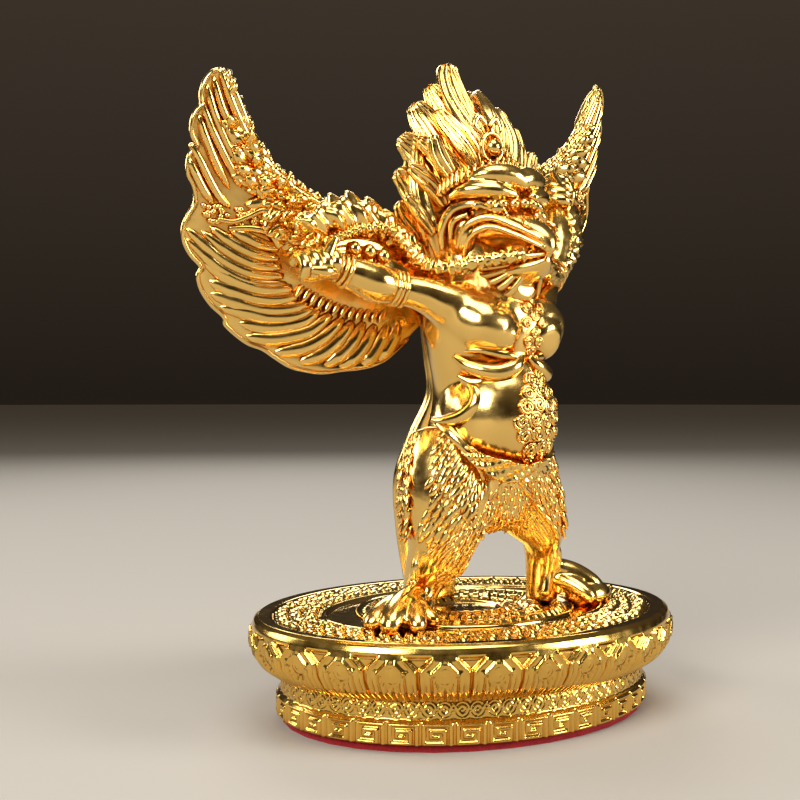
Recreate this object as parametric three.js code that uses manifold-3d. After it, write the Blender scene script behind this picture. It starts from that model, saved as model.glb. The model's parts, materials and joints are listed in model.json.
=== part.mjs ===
// A garuda ornament: one gold plated casting of the figure, standing on an oval lotus base with a felt pad.
// Millimetres, +Z up. The origin is the middle of the underside. The figure faces -Y and its right side is -X.
import * as THREE from 'three';
import { mergeVertices } from 'three/addons/utils/BufferGeometryUtils.js';
import Module from 'manifold-3d';

const wasm = await Module();
wasm.setup();

// Driving dimensions
const deckLong = 80; // the top ridge of the base, across its long way
const deckShort = 65.4; // the same ridge, across its short way
const feltThickness = 1;
const feltInset = 0.8; // how far the felt stays inside the foot
const seatGap = 0.3; // between pieces that rest on each other
const footInset = 4.2; // how far the foot stands inside the top ridge
const footHeight = 7; // from the casting's underside to the neck under the cup
const bandRecess = 0.35; // the patterned band around the foot lies this deep
const bandBorder = 0.35; // plain edge under and over the band
const neckInset = 5; // the narrowest place, where the petals start
const cupHeight = 9.4; // from the neck up to the top ridge
const cupBulge = 0.5; // how far the petals swell past the top ridge
const petalCount = 28;
const fluteDepth = 0.55; // the valleys between the petals
const rimWidth = 3.2; // plain rim around the deck
const rimDrop = 0.5; // how far the deck lies under the top ridge
const scrollWidth = 8.3; // the ring of cloud scrolls inside the rim
const beadingWidth = 1.1; // thin raised ring inside the scrolls
const mirrorDrop = 0.4; // how far the smooth ring lies under the deck
const medallionLong = 41; // the oval medallion in the middle of the deck
const medallionShort = 36;
const figureHeight = 100; // from the deck to a level between the crown's tip and the raised wing's tip

// Worked out from the above
const unit = figureHeight / 100; // the figure's places and sizes are hundredths of its height
const baseBottom = feltThickness + seatGap;
const neckLevel = baseBottom + footHeight;
const ridgeLevel = neckLevel + cupHeight;
const deckLevel = ridgeLevel - rimDrop;
const standLevel = deckLevel + seatGap;
const thinnest = 0.12 * unit; // half the thickness of a claw's or a feather's tip

// Bodies as lofts, and joining them

/** A three.js geometry becomes a solid for joining. */
function toSolid(geometry) {
  geometry.deleteAttribute('normal');
  geometry.deleteAttribute('uv');
  const merged = mergeVertices(geometry, 1e-4);
  const mesh = new wasm.Mesh({
    numProp: 3,
    vertProperties: Float32Array.from(merged.attributes.position.array),
    triVerts: Uint32Array.from(merged.index.array),
  });
  return new wasm.Manifold(mesh);
}

/** A solid becomes a three.js geometry. */
function toGeometry(solid) {
  const mesh = solid.getMesh();
  const geometry = new THREE.BufferGeometry();
  geometry.setAttribute('position', new THREE.BufferAttribute(mesh.vertProperties, 3));
  geometry.setIndex(new THREE.BufferAttribute(mesh.triVerts, 1));
  return geometry;
}

/** Six times the volume inside a closed list of triangles, negative when they face inwards. */
function signedVolume(points, faces) {
  const crossed = new THREE.Vector3();
  return faces.reduce((sum, [a, b, c]) => {
    crossed.crossVectors(points[b], points[c]);
    return sum + points[a].dot(crossed);
  }, 0);
}

/** A closed geometry through rings of equally many points, each end shut by a fan around its middle. */
function loft(rings) {
  const sides = rings[0].length;
  const points = rings.flat();
  const faces = [];
  for (let row = 0; row + 1 < rings.length; row += 1) {
    for (let side = 0; side < sides; side += 1) {
      const next = (side + 1) % sides;
      const low = row * sides;
      const high = low + sides;
      faces.push([low + side, low + next, high + next], [low + side, high + next, high + side]);
    }
  }
  const last = (rings.length - 1) * sides;
  for (const [start, turned] of [[0, true], [last, false]]) {
    const middle = new THREE.Vector3();
    points.slice(start, start + sides).forEach((point) => middle.add(point));
    const centre = points.push(middle.divideScalar(sides)) - 1;
    for (let side = 0; side < sides; side += 1) {
      const edge = [start + side, start + ((side + 1) % sides)];
      faces.push(turned ? [edge[1], edge[0], centre] : [edge[0], edge[1], centre]);
    }
  }
  if (signedVolume(points, faces) < 0) {
    faces.forEach((face) => face.reverse());
  }
  const geometry = new THREE.BufferGeometry().setFromPoints(points);
  geometry.setIndex(faces.flat());
  return geometry;
}

/** A place on the figure: hundredths of its height, from the deck up. */
function place([x, y, z]) {
  return new THREE.Vector3(x * unit, y * unit, z * unit);
}

/**
 * A limb, leaf or strip: oval sections along a smooth line. Each station is x, y, z, half width, half depth.
 * The width lies across both the line and the way that the limb faces. The relief scales single points.
 */
function limb(stations, { facing = [0, -1, 0], sides = 8, steps = stations.length - 1, relief = () => 1 } = {}) {
  const line = new THREE.CatmullRomCurve3(stations.map(place), false, 'centripetal');
  const girth = new THREE.CatmullRomCurve3(stations.map(([, , , wide, deep], i) => place([wide, deep, 9 * i])));
  const front = new THREE.Vector3(...facing);
  const rings = [];
  for (let step = 0; step <= steps; step += 1) {
    const along = step / steps;
    const centre = line.getPoint(along);
    const { x: wide, y: deep } = girth.getPoint(along);
    const across = line.getTangent(along).cross(front).normalize();
    const outward = across.clone().cross(line.getTangent(along)).normalize();
    const ring = [];
    for (let side = 0; side < sides; side += 1) {
      const angle = (side / sides) * 2 * Math.PI;
      const swell = relief(side, step);
      const point = centre.clone().addScaledVector(across, Math.max(wide * swell, thinnest) * Math.cos(angle));
      ring.push(point.addScaledVector(outward, Math.max(deep * swell, thinnest) * Math.sin(angle)));
    }
    rings.push(ring);
  }
  return toSolid(loft(rings));
}

/** A rounded lump with its three half sizes, tilted about X and then turned about Z. */
function lump(centre, [wide, deep, tall], { columns = 12, rows = 8, tilt = 0, yaw = 0 } = {}) {
  const ball = new THREE.SphereGeometry(1, columns, rows);
  ball.rotateX(Math.PI / 2);
  ball.scale(wide * unit, deep * unit, tall * unit);
  ball.rotateX(tilt);
  ball.rotateZ(yaw);
  ball.translate(...place(centre).toArray());
  return toSolid(ball);
}

/** Carries a point of the straight line between two values. */
function mix(from, to, share) {
  return from + (to - from) * share;
}

// The body

function torso() {
  const trunk = limb([
    [0, -4.5, 15, 7, 7],
    [0, -4, 22, 12, 9.5],
    [0, -3.5, 29, 11.2, 9],
    [0, -3.8, 37, 9.6, 8.2],
    [0, -5.4, 44, 11.4, 9.8],
    [0, -6, 50, 12.6, 10.8],
    [0, -3.5, 56, 9.6, 8.6],
    [0.3, -1.4, 64, 8.4, 8.4],
    [0.6, -2, 70, 7.6, 7.6],
  ], { sides: 12, steps: 8 });
  const belly = lump([-0.6, -10, 34.2], [10.2, 8.8, 10.4], { columns: 12, rows: 8 });
  const breasts = [-5.3, 5.3].map((x) => lump([x, -11.2, 47], [6, 5.4, 5.4], { columns: 8, rows: 6 }));
  const flanks = [-8.2, 8.2].map((x) => lump([x, -6.6, 36], [2.6, 4, 6.2], { columns: 6, rows: 4 }));
  const pendant = lump([0, -16.4, 50.5], [3.4, 1.8, 5.4], { columns: 6, rows: 4, tilt: -0.25 });
  const folds = [-1, 1].map((side) => limb([
    [side * 11, -9.5, 42, 0.6, 0.6],
    [side * 6.5, -14.2, 40.6, 1.4, 1.3],
    [side * 1.4, -15.4, 42.8, 0.6, 0.6],
  ], { sides: 5, steps: 3 }));
  const girdle = limb([
    [-11.5, -7, 30, 0.8, 0.8],
    [-7.5, -14, 25.5, 1.8, 1.6],
    [-0.5, -16.2, 22.6, 2.4, 1.9],
    [6.5, -14, 25, 1.8, 1.6],
    [11, -7, 29.5, 0.8, 0.8],
  ], { sides: 4, steps: 6 });
  return [trunk, belly, ...breasts, ...flanks, pendant, ...folds, girdle];
}

/** The mane and tail: long feather strips, side by side, from the nape down the back to the deck. */
function mane() {
  return limb([
    [0, 2.6, 70, 6, 3],
    [0, 4, 62, 7, 3],
    [0, 4.2, 53, 6.6, 2.8],
    [0, 3.6, 45, 6, 2.4],
    [0, 3.4, 38, 5.4, 2.6],
    [0, 6.6, 31, 6.4, 3.6],
    [0, 9.4, 23, 7.8, 4],
    [0, 9.6, 13, 7.2, 3.2],
    [0, 9.2, 5, 6, 2.2],
    [0, 9, 0, 5.2, 1.8],
  ], { sides: 16, steps: 10, relief: (side) => (side % 2 ? 0.84 : 1.06) });
}

// Legs and feet

/** One leg: a thigh in feather breeches, whose tufts are staggered from row to row, and a bare shank. */
function leg(stations) {
  const lastTuft = 7;
  const tufts = (side, step) => {
    if (step % 2 === 0 || step > lastTuft) {
      return 1;
    }
    return (side + (step - 1) / 2) % 2 ? 1.09 : 0.94;
  };
  return limb(stations, { sides: 10, steps: 10, relief: tufts });
}

/** A bird's foot: the instep and toes that arch over a knuckle down to a hooked claw. */
function foot(heel, ball, toes) {
  const instep = limb([
    [...heel, 3.2, 3],
    [mix(heel[0], ball[0], 0.5), mix(heel[1], ball[1], 0.5), 3.2, 3.6, 3],
    [...ball, 4.6, 2.4],
  ], { facing: [0, 0, 1], sides: 6, steps: 2 });
  const digits = toes.map(([tipX, tipY, knuckle]) => limb([
    [mix(ball[0], tipX, -0.1), mix(ball[1], tipY, -0.1), 2.4, 1.8, 2],
    [mix(ball[0], tipX, 0.42), mix(ball[1], tipY, 0.42), knuckle - 1.9, 2.1, 2.2],
    [mix(ball[0], tipX, 0.72), mix(ball[1], tipY, 0.72), 2, 1.7, 1.9],
    [tipX, tipY, 0.6, 0.5, 0.6],
  ], { facing: [0, 0, 1], sides: 4, steps: 3 }));
  return [instep, ...digits];
}

function legs() {
  const right = leg([
    [-6.5, -3.5, 30, 7.5, 7.5],
    [-8.6, -4.6, 24.5, 8.6, 8.6],
    [-9.6, -5.2, 18.5, 8.6, 8.8],
    [-10.6, -5, 12, 6.6, 7],
    [-11.4, -3, 7.5, 4.2, 4.6],
    [-11.6, -1.4, 3.6, 3.1, 3.3],
    [-11.4, -1, 0, 3.2, 3.4],
  ]);
  const left = leg([
    [6, -4.5, 30, 7, 7],
    [8.2, -6, 24.5, 6.6, 7],
    [10.4, -7, 18, 5.9, 6.4],
    [12.2, -7, 13.4, 4.3, 4.8],
    [14.4, -5, 9.4, 3.1, 3.3],
    [15.2, -4.2, 4.4, 2.9, 3],
    [15.4, -4, 0, 3, 3.2],
  ]);
  const rightFoot = foot([-9.5, 0.2, 2.6], [-18, -5.8, 2.6], [
    [-25.2, -1.2, 5.4],
    [-29.4, -7.4, 5.8],
    [-27, -13.2, 5.8],
    [-19.8, -15.4, 5.2],
  ]);
  const leftFoot = foot([15.2, -1.8, 2.6], [16.4, -8.4, 2.6], [
    [9.4, -14.2, 5],
    [14, -17.6, 5.6],
    [19.8, -17, 5.8],
    [26, -11, 7.6],
  ]);
  return [right, left, ...rightFoot, ...leftFoot];
}

// Arms, hands and the serpent between them

/** A hand that grips upwards: a palm, a thumb and three fingers, one of them pointing. */
function hand(wrist, palm, pointing) {
  const body = limb([
    [...wrist, 1.9, 1.7],
    [mix(wrist[0], palm[0], 0.6), mix(wrist[1], palm[1], 0.6), mix(wrist[2], palm[2], 0.6), 2.5, 2],
    [...palm, 2.1, 1.7],
  ], { sides: 6, steps: 2 });
  const [x, y, z] = palm;
  const fingers = [
    [[x, y - 0.8, z], [x + 0.4, y - 2.4, z + 1.4], [...pointing]],
    [[x, y, z], [x * 1.06, y - 2.4, z + 0.6], [x * 1.04, y - 2.6, z + 3]],
    [[x, y, z - 1], [x * 1.08, y - 1.8, z - 1.4], [x * 1.1, y - 2.6, z + 0.8]],
  ].map((joints) => limb(joints.map((joint, i) => [...joint, 1.05 - 0.25 * i, 1.05 - 0.25 * i]), {
    facing: [0.2, -0.9, 0.4], sides: 4, steps: 2,
  }));
  return [body, ...fingers];
}

/** The swell of the armlet and of the bracelets at the wrist, given the steps that carry them. */
function bangles(...steps) {
  return (side, step) => (steps.includes(step) ? 1.24 : 1);
}

function arms() {
  const right = limb([
    [-3, -7.5, 51, 5, 5.2],
    [-9.5, -7.6, 52.6, 3.9, 4.1],
    [-14.5, -5.6, 55, 2.9, 3],
    [-19, -3.8, 56.8, 2.4, 2.5],
    [-22.5, -3, 57.6, 3, 3],
    [-26.5, -2.2, 58.8, 2.5, 2.5],
    [-29.8, -1.4, 60, 1.8, 1.8],
  ], { facing: [0, 0, 1], sides: 7, steps: 14, relief: bangles(7, 12) });
  const left = limb([
    [3, -7.5, 51, 5, 5.2],
    [9, -7.6, 53.4, 4, 4.1],
    [14.4, -5.6, 58, 2.7, 2.8],
    [18.6, -4, 62, 2.6, 2.7],
    [22, -2, 67, 2.9, 2.9],
    [25, 1, 72.4, 2, 2],
    [26, 2.2, 74.6, 1.8, 1.8],
  ], { facing: [0, -1, 0.3], sides: 7, steps: 14, relief: bangles(5, 12) });
  const rightHand = hand([-29.6, -1.5, 60], [-34, 0.6, 61.6], [-29.6, -2, 66]);
  const leftHand = hand([25.8, 2, 74.2], [27.4, 3.6, 77.6], [24.4, 1.4, 81]);
  return [right, left, ...rightHand, ...leftHand];
}

/** The serpent: from the right hand over the forearm, through the beak, down and up to the left hand. */
function serpent() {
  const body = limb([
    [-36.5, 1.5, 66, 1.4, 1.4],
    [-31.5, 1.2, 67, 2.6, 2.4],
    [-25.5, 1.4, 68.2, 3.6, 2.8],
    [-19.4, 1, 66.8, 3.6, 2.6],
    [-15, -1, 63.8, 2.8, 2.2],
    [-11.5, -6, 60.8, 1.5, 1.4],
    [-7.6, -12.6, 60.4, 1.2, 1.2],
    [-3.4, -17, 61.4, 1.1, 1.2],
    [1, -19, 61.8, 1.1, 1.2],
    [7, -15, 60, 1.2, 1.2],
    [14.6, -9, 58.6, 1.4, 1.4],
    [21, -6, 61.6, 1.8, 1.6],
    [26, -4.4, 67.4, 2.2, 1.8],
    [28.4, 1, 74, 2.2, 1.8],
    [26.4, 4.6, 79.4, 1.2, 1.2],
  ], { sides: 6, steps: 16 });
  const spikes = [
    [-29.4, 1.6, 69.4],
    [-25.8, 1.6, 70.4],
    [-22, 1.6, 69.6],
    [-18.2, 1.2, 67.8],
    [-15.4, 0.4, 65.6],
  ].map(([x, y, z]) => limb([
    [x, y, z - 0.8, 2, 0.9],
    [x - 0.7, y, z + 2.6, 0.3, 0.3],
  ], { sides: 4, steps: 1 }));
  return [body, ...spikes];
}

// Head and crown

function head() {
  const skull = lump([0.8, -4.6, 70], [8.4, 9, 8.4], { columns: 12, rows: 8 });
  const upperBeak = limb([
    [0.6, -6, 67.2, 6.6, 5.6],
    [0.8, -12.5, 67.2, 5.4, 4.8],
    [0.9, -17.6, 66, 4, 3.5],
    [1, -21, 63.9, 2.4, 2.6],
    [1, -23, 61, 0.4, 0.5],
  ], { facing: [0, -0.2, 1], sides: 9, steps: 7 });
  const lowerBeak = limb([
    [0.6, -4, 61, 7, 3.4],
    [0.7, -12, 59.6, 5, 2.4],
    [0.9, -18, 60.2, 3, 1.6],
    [1, -21, 61.2, 0.8, 0.8],
  ], { facing: [0, 0, 1], sides: 8, steps: 5 });
  const beard = [-2.6, 0.8, 4.2].map((x, i) => limb([
    [x, -8 - (i % 2), 60, 2, 1.6],
    [x, -13.6 - (i % 2), 57.4, 2, 1.6],
    [x - 0.6, -15.6 - (i % 2), 54, 0.4, 0.4],
  ], { sides: 4, steps: 2 }));
  const brows = [-1, 1].map((side) => limb([
    [0.8 + side * 8.2, -7.4, 70.8, 0.7, 0.7],
    [0.8 + side * 5.6, -11.6, 73.2, 1.7, 1.5],
    [0.8 + side * 1, -14, 73, 1.2, 1.3],
  ], { facing: [0, -0.4, 1], sides: 5, steps: 3 }));
  const forehead = limb([
    [-3.4, -10.6, 75.6, 0.8, 0.8],
    [0.8, -12, 76.4, 2, 1.6],
    [5, -10.6, 75.6, 0.8, 0.8],
  ], { facing: [0, -0.4, 1], sides: 4, steps: 2 });
  const eyes = [-3.6, 5.2].map((x) => lump([x, -12.4, 70], [1.9, 1.9, 1.6], { columns: 6, rows: 4 }));
  const ears = [-1, 1].map((side) => limb([
    [0.8 + side * 7.8, -3.6, 70.6, 1.3, 1.3],
    [0.8 + side * 8.9, -4.2, 66.4, 1.6, 1.9],
    [0.8 + side * 7.4, -4.6, 62, 0.7, 0.8],
  ], { sides: 5, steps: 2 }));
  const cheeks = [-1, 1].map((side) => limb([
    [0.8 + side * 3.4, -15.4, 63.2, 0.8, 0.9],
    [0.8 + side * 6, -11, 64.8, 1.2, 1.4],
    [0.8 + side * 7.4, -7.6, 62.6, 1.3, 1.5],
  ], { sides: 4, steps: 2 }));
  return [skull, upperBeak, lowerBeak, ...beard, ...brows, forehead, ...eyes, ...ears, ...cheeks];
}

/** The crown: a leaning core with flame leaves that fan out around it, a band and a jewel. */
function crown() {
  const core = limb([
    [0.4, -2, 73.6, 9.6, 9],
    [0.3, -1.6, 79, 9.6, 7],
    [0.2, 1, 85, 7.6, 5],
    [0, 4, 91, 4.2, 2.8],
    [-0.2, 6.4, 98.2, 1.2, 1.2],
  ], { sides: 14, steps: 5, relief: (side) => (side % 2 ? 0.94 : 1.06) });
  const tips = [
    [3.4, 5.2, 6, 93.6],
    [6.8, 8.8, 5.6, 90.8],
    [10.2, 12, 4.6, 86.8],
    [12.6, 13.6, 4, 81.4],
    [13.4, 13.4, 3.8, 76],
    [12.8, 12.6, 3.6, 70.6],
  ];
  const leaves = [-1, 1].flatMap((side) => tips.map(([rightX, leftX, y, z], i) => {
    const x = side < 0 ? -rightX : leftX;
    const low = i / (tips.length - 1);
    const root = [side * mix(1.5, 6.8, low), mix(1.5, -1, low), mix(82, 64, low)];
    return limb([
      [...root, 3, 2.8],
      [mix(root[0], x, 0.66), mix(root[1], y, 0.6), mix(root[2], z, 0.68), 2.9, 2],
      [x, y, z, 1.3, 0.9],
    ], { sides: 4, steps: 2 });
  }));
  const plumes = [-1, 1].map((side) => limb([
    [side * 9, -3.4, 75.4, 1.8, 1.4],
    [side * 12, -3, 79, 1.8, 1.4],
    [side * 13, -2.4, 82.6, 0.8, 0.8],
  ], { sides: 4, steps: 2 }));
  const jewel = lump([-0.4, -8.2, 81], [1.9, 1.7, 2], { columns: 6, rows: 4 });
  const band = limb([
    [-9, -4.6, 74.2, 0.9, 1.1],
    [-6.4, -9, 76.4, 1, 1.2],
    [0.4, -11.2, 77.8, 1.1, 1.4],
    [7.2, -9, 76.4, 1, 1.2],
    [9.6, -4.6, 74.2, 0.9, 1.1],
  ], { facing: [0, 0, 1], sides: 4, steps: 6 });
  return [core, ...leaves, ...plumes, jewel, band];
}

// Wings

const featherCount = 12;
const columnsPerFeather = 3;
const wingRaise = 11.4; // how far the left wing is held above the right one
const featherSections = [[0, 1.6], [0.42, 1.4], [0.5, 0.8], [1, 0.7]]; // place along a feather, half thickness

const wingRoot = [[40.4, 80.2], [34.2, 73.8], [25.6, 69.4], [16, 66.6], [8.5, 60], [6, 51]];
const wingRim = [
  [46, 90.8], [49.4, 82.6], [49.8, 75.2], [49.4, 66.2], [46.4, 58.2],
  [41.8, 50.4], [35, 44.2], [26.4, 41.4], [15.8, 42], [7, 47.4],
];

/** How far back the wing lies: it sweeps back with its span, and more below its leading edge. */
function wingSweep(span, level) {
  const below = Math.max(0, 0.686 * (span - 8) - 0.728 * (level - 60));
  return 5.5 + 0.05 * span + 0.006 * below * span;
}

/**
 * A wing as one curved slab: feathers fan out from the root line to the rim, each with two ridges.
 * The thicker inner part is the coverts, which end in a step.
 */
function wing(side, raise) {
  const flat = (points) => new THREE.SplineCurve(points.map(([span, level]) => new THREE.Vector2(span, level)));
  const root = flat(wingRoot);
  const rim = flat(wingRim);
  const columns = featherCount * columnsPerFeather;
  const rings = [];
  for (let column = 0; column <= columns; column += 1) {
    const share = column / columns;
    const inFeather = column % columnsPerFeather;
    const start = root.getPoint(share);
    const notch = inFeather === 0 ? 0.945 : 1;
    const end = rim.getPoint(share).sub(start).multiplyScalar(notch).add(start);
    const reach = end.clone().sub(start);
    const bow = 0.14 * Math.sin(Math.PI * Math.min(1, share * 1.2));
    const front = [];
    const back = [];
    featherSections.forEach(([along, thickness]) => {
      const bend = 4 * along * (1 - along) * bow;
      const span = start.x + reach.x * along + reach.y * bend;
      const level = start.y + reach.y * along - reach.x * bend;
      const half = inFeather === 0 && along > 0.45 ? thickness * 0.45 : thickness;
      const y = wingSweep(span, level);
      front.push(place([side * span, y - half, level + raise]));
      back.push(place([side * span, y + half, level + raise]));
    });
    rings.push([...front, ...back.reverse()]);
  }
  const slab = toSolid(loft(rings));
  const shoulder = limb([
    [side * 1, 1.6, 52 + raise * 0.2, 4.4, 3],
    [side * 8, 4.4, 58 + raise * 0.7, 4.2, 3],
    [side * 15, 6, 63.6 + raise, 3.4, 2.4],
    [side * 24, 7, 68 + raise, 1.8, 1.8],
  ], { sides: 7, steps: 4 });
  const curl = lump([side * 36.6, wingSweep(36.6, 68) - 1, 68 + raise], [2.6, 1.4, 2.2], { columns: 6, rows: 4 });
  return [slab, shoulder, curl];
}

// The pieces

/** The whole casting, cut level under its soles and tail. */
function garudaFigure() {
  const parts = [
    ...torso(), mane(), ...legs(), ...arms(), ...serpent(), ...head(), ...crown(),
    ...wing(-1, 0), ...wing(1, wingRaise),
  ];
  const whole = parts.reduce((joined, part) => joined.add(part));
  const ground = new THREE.BoxGeometry(2 * figureHeight, 2 * figureHeight, figureHeight);
  ground.translate(0, 0, -figureHeight / 2);
  return toGeometry(whole.subtract(toSolid(ground)));
}

/** A closed body of oval rings: each has its inset from the top ridge, its level and its flute depth. */
function ovalBody(profile, columns) {
  return loft(profile.map(([inset, level, flute = 0]) => {
    const ring = [];
    for (let column = 0; column < columns; column += 1) {
      const angle = (column / columns) * 2 * Math.PI;
      const inward = inset + (column % 2) * flute;
      const long = deckLong / 2 - inward;
      const short = deckShort / 2 - inward;
      ring.push(new THREE.Vector3(long * Math.cos(angle), short * Math.sin(angle), level));
    }
    return ring;
  }));
}

function lotusBase() {
  const bandBottom = baseBottom + bandBorder;
  const bandTop = neckLevel - bandBorder;
  const scrollInset = rimWidth + scrollWidth;
  const mirrorInset = scrollInset + beadingWidth;
  const profile = [
    [footInset, baseBottom],
    [footInset, bandBottom],
    [footInset + bandRecess, bandBottom],
    [footInset + bandRecess, bandTop],
    [footInset, bandTop],
    [neckInset, neckLevel],
    [mix(neckInset, -cupBulge, 0.5), mix(neckLevel, ridgeLevel, 0.17), fluteDepth],
    [mix(neckInset, -cupBulge, 0.86), mix(neckLevel, ridgeLevel, 0.4), fluteDepth],
    [-cupBulge, mix(neckLevel, ridgeLevel, 0.68), fluteDepth * 0.6],
    [-cupBulge * 0.8, mix(neckLevel, ridgeLevel, 0.86)],
    [0, ridgeLevel],
    [rimWidth, ridgeLevel],
    [rimWidth, deckLevel],
    [scrollInset, deckLevel],
    [mix(scrollInset, mirrorInset, 0.5), ridgeLevel],
    [mirrorInset, deckLevel - mirrorDrop],
  ];
  return toSolid(ovalBody(profile, petalCount * 2));
}

/** The oval medallion that the deck carries in its middle. */
function medallion() {
  const disc = new THREE.CylinderGeometry(1, 1, 1, 36);
  disc.rotateX(Math.PI / 2);
  const height = mirrorDrop + baseBottom;
  disc.scale(medallionLong / 2, medallionShort / 2, height);
  disc.translate(0, 0, deckLevel - height / 2);
  return toSolid(disc);
}

function feltPad() {
  const shape = new THREE.Shape();
  const inset = footInset + feltInset;
  shape.absellipse(0, 0, deckLong / 2 - inset, deckShort / 2 - inset, 0, 2 * Math.PI);
  return new THREE.ExtrudeGeometry(shape, { depth: feltThickness, bevelEnabled: false, curveSegments: 16 });
}

function metal(colour) {
  return new THREE.MeshStandardMaterial({ color: colour, roughness: 0.18, metalness: 1 });
}

function named(name, geometry, material) {
  const mesh = new THREE.Mesh(geometry, material);
  mesh.name = name;
  return mesh;
}

const ornament = new THREE.Group();

const figure = named('garuda_figure', garudaFigure(), metal(0xe8b040));
figure.position.z = standLevel;
ornament.add(figure);
ornament.add(named('lotus_base', toGeometry(lotusBase().add(medallion())), metal(0xe8b040)));
const felt = new THREE.MeshStandardMaterial({ color: 0xb01818, roughness: 0.95, metalness: 0 });
ornament.add(named('felt_pad', feltPad(), felt));

export default ornament;
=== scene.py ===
# %% [markdown]
# # A gold plated garuda ornament
#
# The ornament is a small zinc alloy casting with bright gold plating: a garuda with spread wings that holds a
# serpent, on an oval lotus base with a felt pad. Everything here is worked out as numpy surfaces: a form is a grid
# of points over two parameters, made as whole arrays, and one function turns the grids into a mesh. The figure's
# places are in millimetres above its soles, because that is how a modeller would measure the casting.

# %% Load the fixed frame
import json

import bpy
import numpy as np
from mathutils.bvhtree import BVHTree
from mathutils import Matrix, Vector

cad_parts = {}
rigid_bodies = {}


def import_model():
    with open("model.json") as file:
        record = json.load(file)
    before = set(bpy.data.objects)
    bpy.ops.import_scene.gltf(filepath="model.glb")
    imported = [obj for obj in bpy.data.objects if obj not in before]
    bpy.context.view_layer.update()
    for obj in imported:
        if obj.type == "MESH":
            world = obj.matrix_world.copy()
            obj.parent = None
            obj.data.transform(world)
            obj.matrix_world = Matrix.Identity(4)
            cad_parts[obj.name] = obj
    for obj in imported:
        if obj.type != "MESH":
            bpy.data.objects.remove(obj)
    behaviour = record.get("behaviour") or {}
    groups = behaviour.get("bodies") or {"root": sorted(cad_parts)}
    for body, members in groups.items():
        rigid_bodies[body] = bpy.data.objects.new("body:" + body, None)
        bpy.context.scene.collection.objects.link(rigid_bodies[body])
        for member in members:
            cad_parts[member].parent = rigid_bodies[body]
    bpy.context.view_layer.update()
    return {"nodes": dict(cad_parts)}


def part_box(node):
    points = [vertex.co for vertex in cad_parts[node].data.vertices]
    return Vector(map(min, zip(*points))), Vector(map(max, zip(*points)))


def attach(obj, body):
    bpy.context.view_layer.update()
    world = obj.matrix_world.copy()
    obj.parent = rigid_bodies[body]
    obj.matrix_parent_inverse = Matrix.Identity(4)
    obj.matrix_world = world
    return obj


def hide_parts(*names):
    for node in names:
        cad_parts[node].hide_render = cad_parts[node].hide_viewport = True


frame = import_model()
print("nodes:", sorted(frame["nodes"]))

# %% Units and levels
MM = 0.001
TURN = 2 * np.pi
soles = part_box("garuda_figure")[0].z / MM
foot_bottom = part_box("lotus_base")[0].z / MM
print("soles at", round(soles, 2), "mm, underside of the base at", round(foot_bottom, 2), "mm")

# %% [markdown]
# ## The camera
#
# The ornament was photographed from close by, a little above the middle of its height and from its right front.
# The oval of the base gives the distance and the angle.

# %% Camera
FOCAL_LENGTH, SENSOR_WIDTH = 55.53, 36
CAMERA_PLACE = (-0.15143, -0.16211, 0.05564)
LOOKING_DOWN, BEARING = 0.31, -40
lens = bpy.data.cameras.new("camera")
lens.lens = FOCAL_LENGTH
lens.sensor_width = SENSOR_WIDTH
lens.clip_start = 0.01
camera = bpy.data.objects.new("camera", lens)
camera.location = CAMERA_PLACE
camera.rotation_euler = (np.radians(90 - LOOKING_DOWN), 0, np.radians(BEARING))
bpy.context.scene.collection.objects.link(camera)
bpy.context.scene.camera = camera
print("lens", round(lens.lens, 2), "mm")

# %% [markdown]
# ## Colours and node helper
#
# Colours are written as sRGB hex values, as a paint or plating shop would give them, and turned to linear light by
# one function. One small helper adds a shader node with its settings, values and links.

# %% Colour and node helpers


def linear(hex_colour):
    """An sRGB hex value as linear RGBA: each channel is ((c + 0.055) / 1.055) to the power 2.4."""
    parts = np.array([int(hex_colour[i:i + 2], 16) for i in (1, 3, 5)]) / 255
    light = np.where(parts <= 0.04045, parts / 12.92, ((parts + 0.055) / 1.055) ** 2.4)
    return (*light.tolist(), 1.0)


def add(tree, kind, settings=(), values=(), links=(), stops=()):
    """
    Adds one node: settings are its properties, values fill sockets, links join (socket, node, output), and stops
    are (position, linear colour) on a colour ramp.
    """
    made = tree.nodes.new(kind)
    for key, value in settings:
        setattr(made, key, value)
    for key, value in values:
        made.inputs[key].default_value = value
    for key, source, output in links:
        tree.links.new(source.outputs[output], made.inputs[key])
    for place, (position, colour) in enumerate(stops):
        if place >= len(made.color_ramp.elements):
            made.color_ramp.elements.new(position)
        made.color_ramp.elements[place].position = position
        made.color_ramp.elements[place].color = colour
    return made


def grey(value):
    """A grey stop for a ramp that carries a number."""
    return (value, value, value, 1.0)


print("gold in linear light:", [round(c, 3) for c in linear("#F4CB74")])

# %% [markdown]
# ## Bright gold plating
#
# Electroplated gold over a polished nickel layer: a true metal, so its colour is in the reflection. The plating
# follows the casting's skin, which has a slight ripple, so highlights waver. Recesses are painted a deeper orange:
# a painted shade and a painted gold-to-gold reflection. An ambient occlusion node finds the recesses.
# The scale of a noise is how many of its patches go to a metre, so it is 1 over the patch's size in metres.

# %% Gold plating
GROOVE_REACH = 0.003  # light is lost in grooves up to 3 mm wide, such as those between two feathers
HAZE_SCALE = 420.0  # patches of better and worse polish are about 2.4 mm across, like the tip of a polishing felt
RIPPLE_SCALE = 900.0  # the casting's ripple has a wave about every 1.1 mm
FIBRE_SCALE = 2500.0  # tufts of felt fibres are about 0.4 mm across


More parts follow.
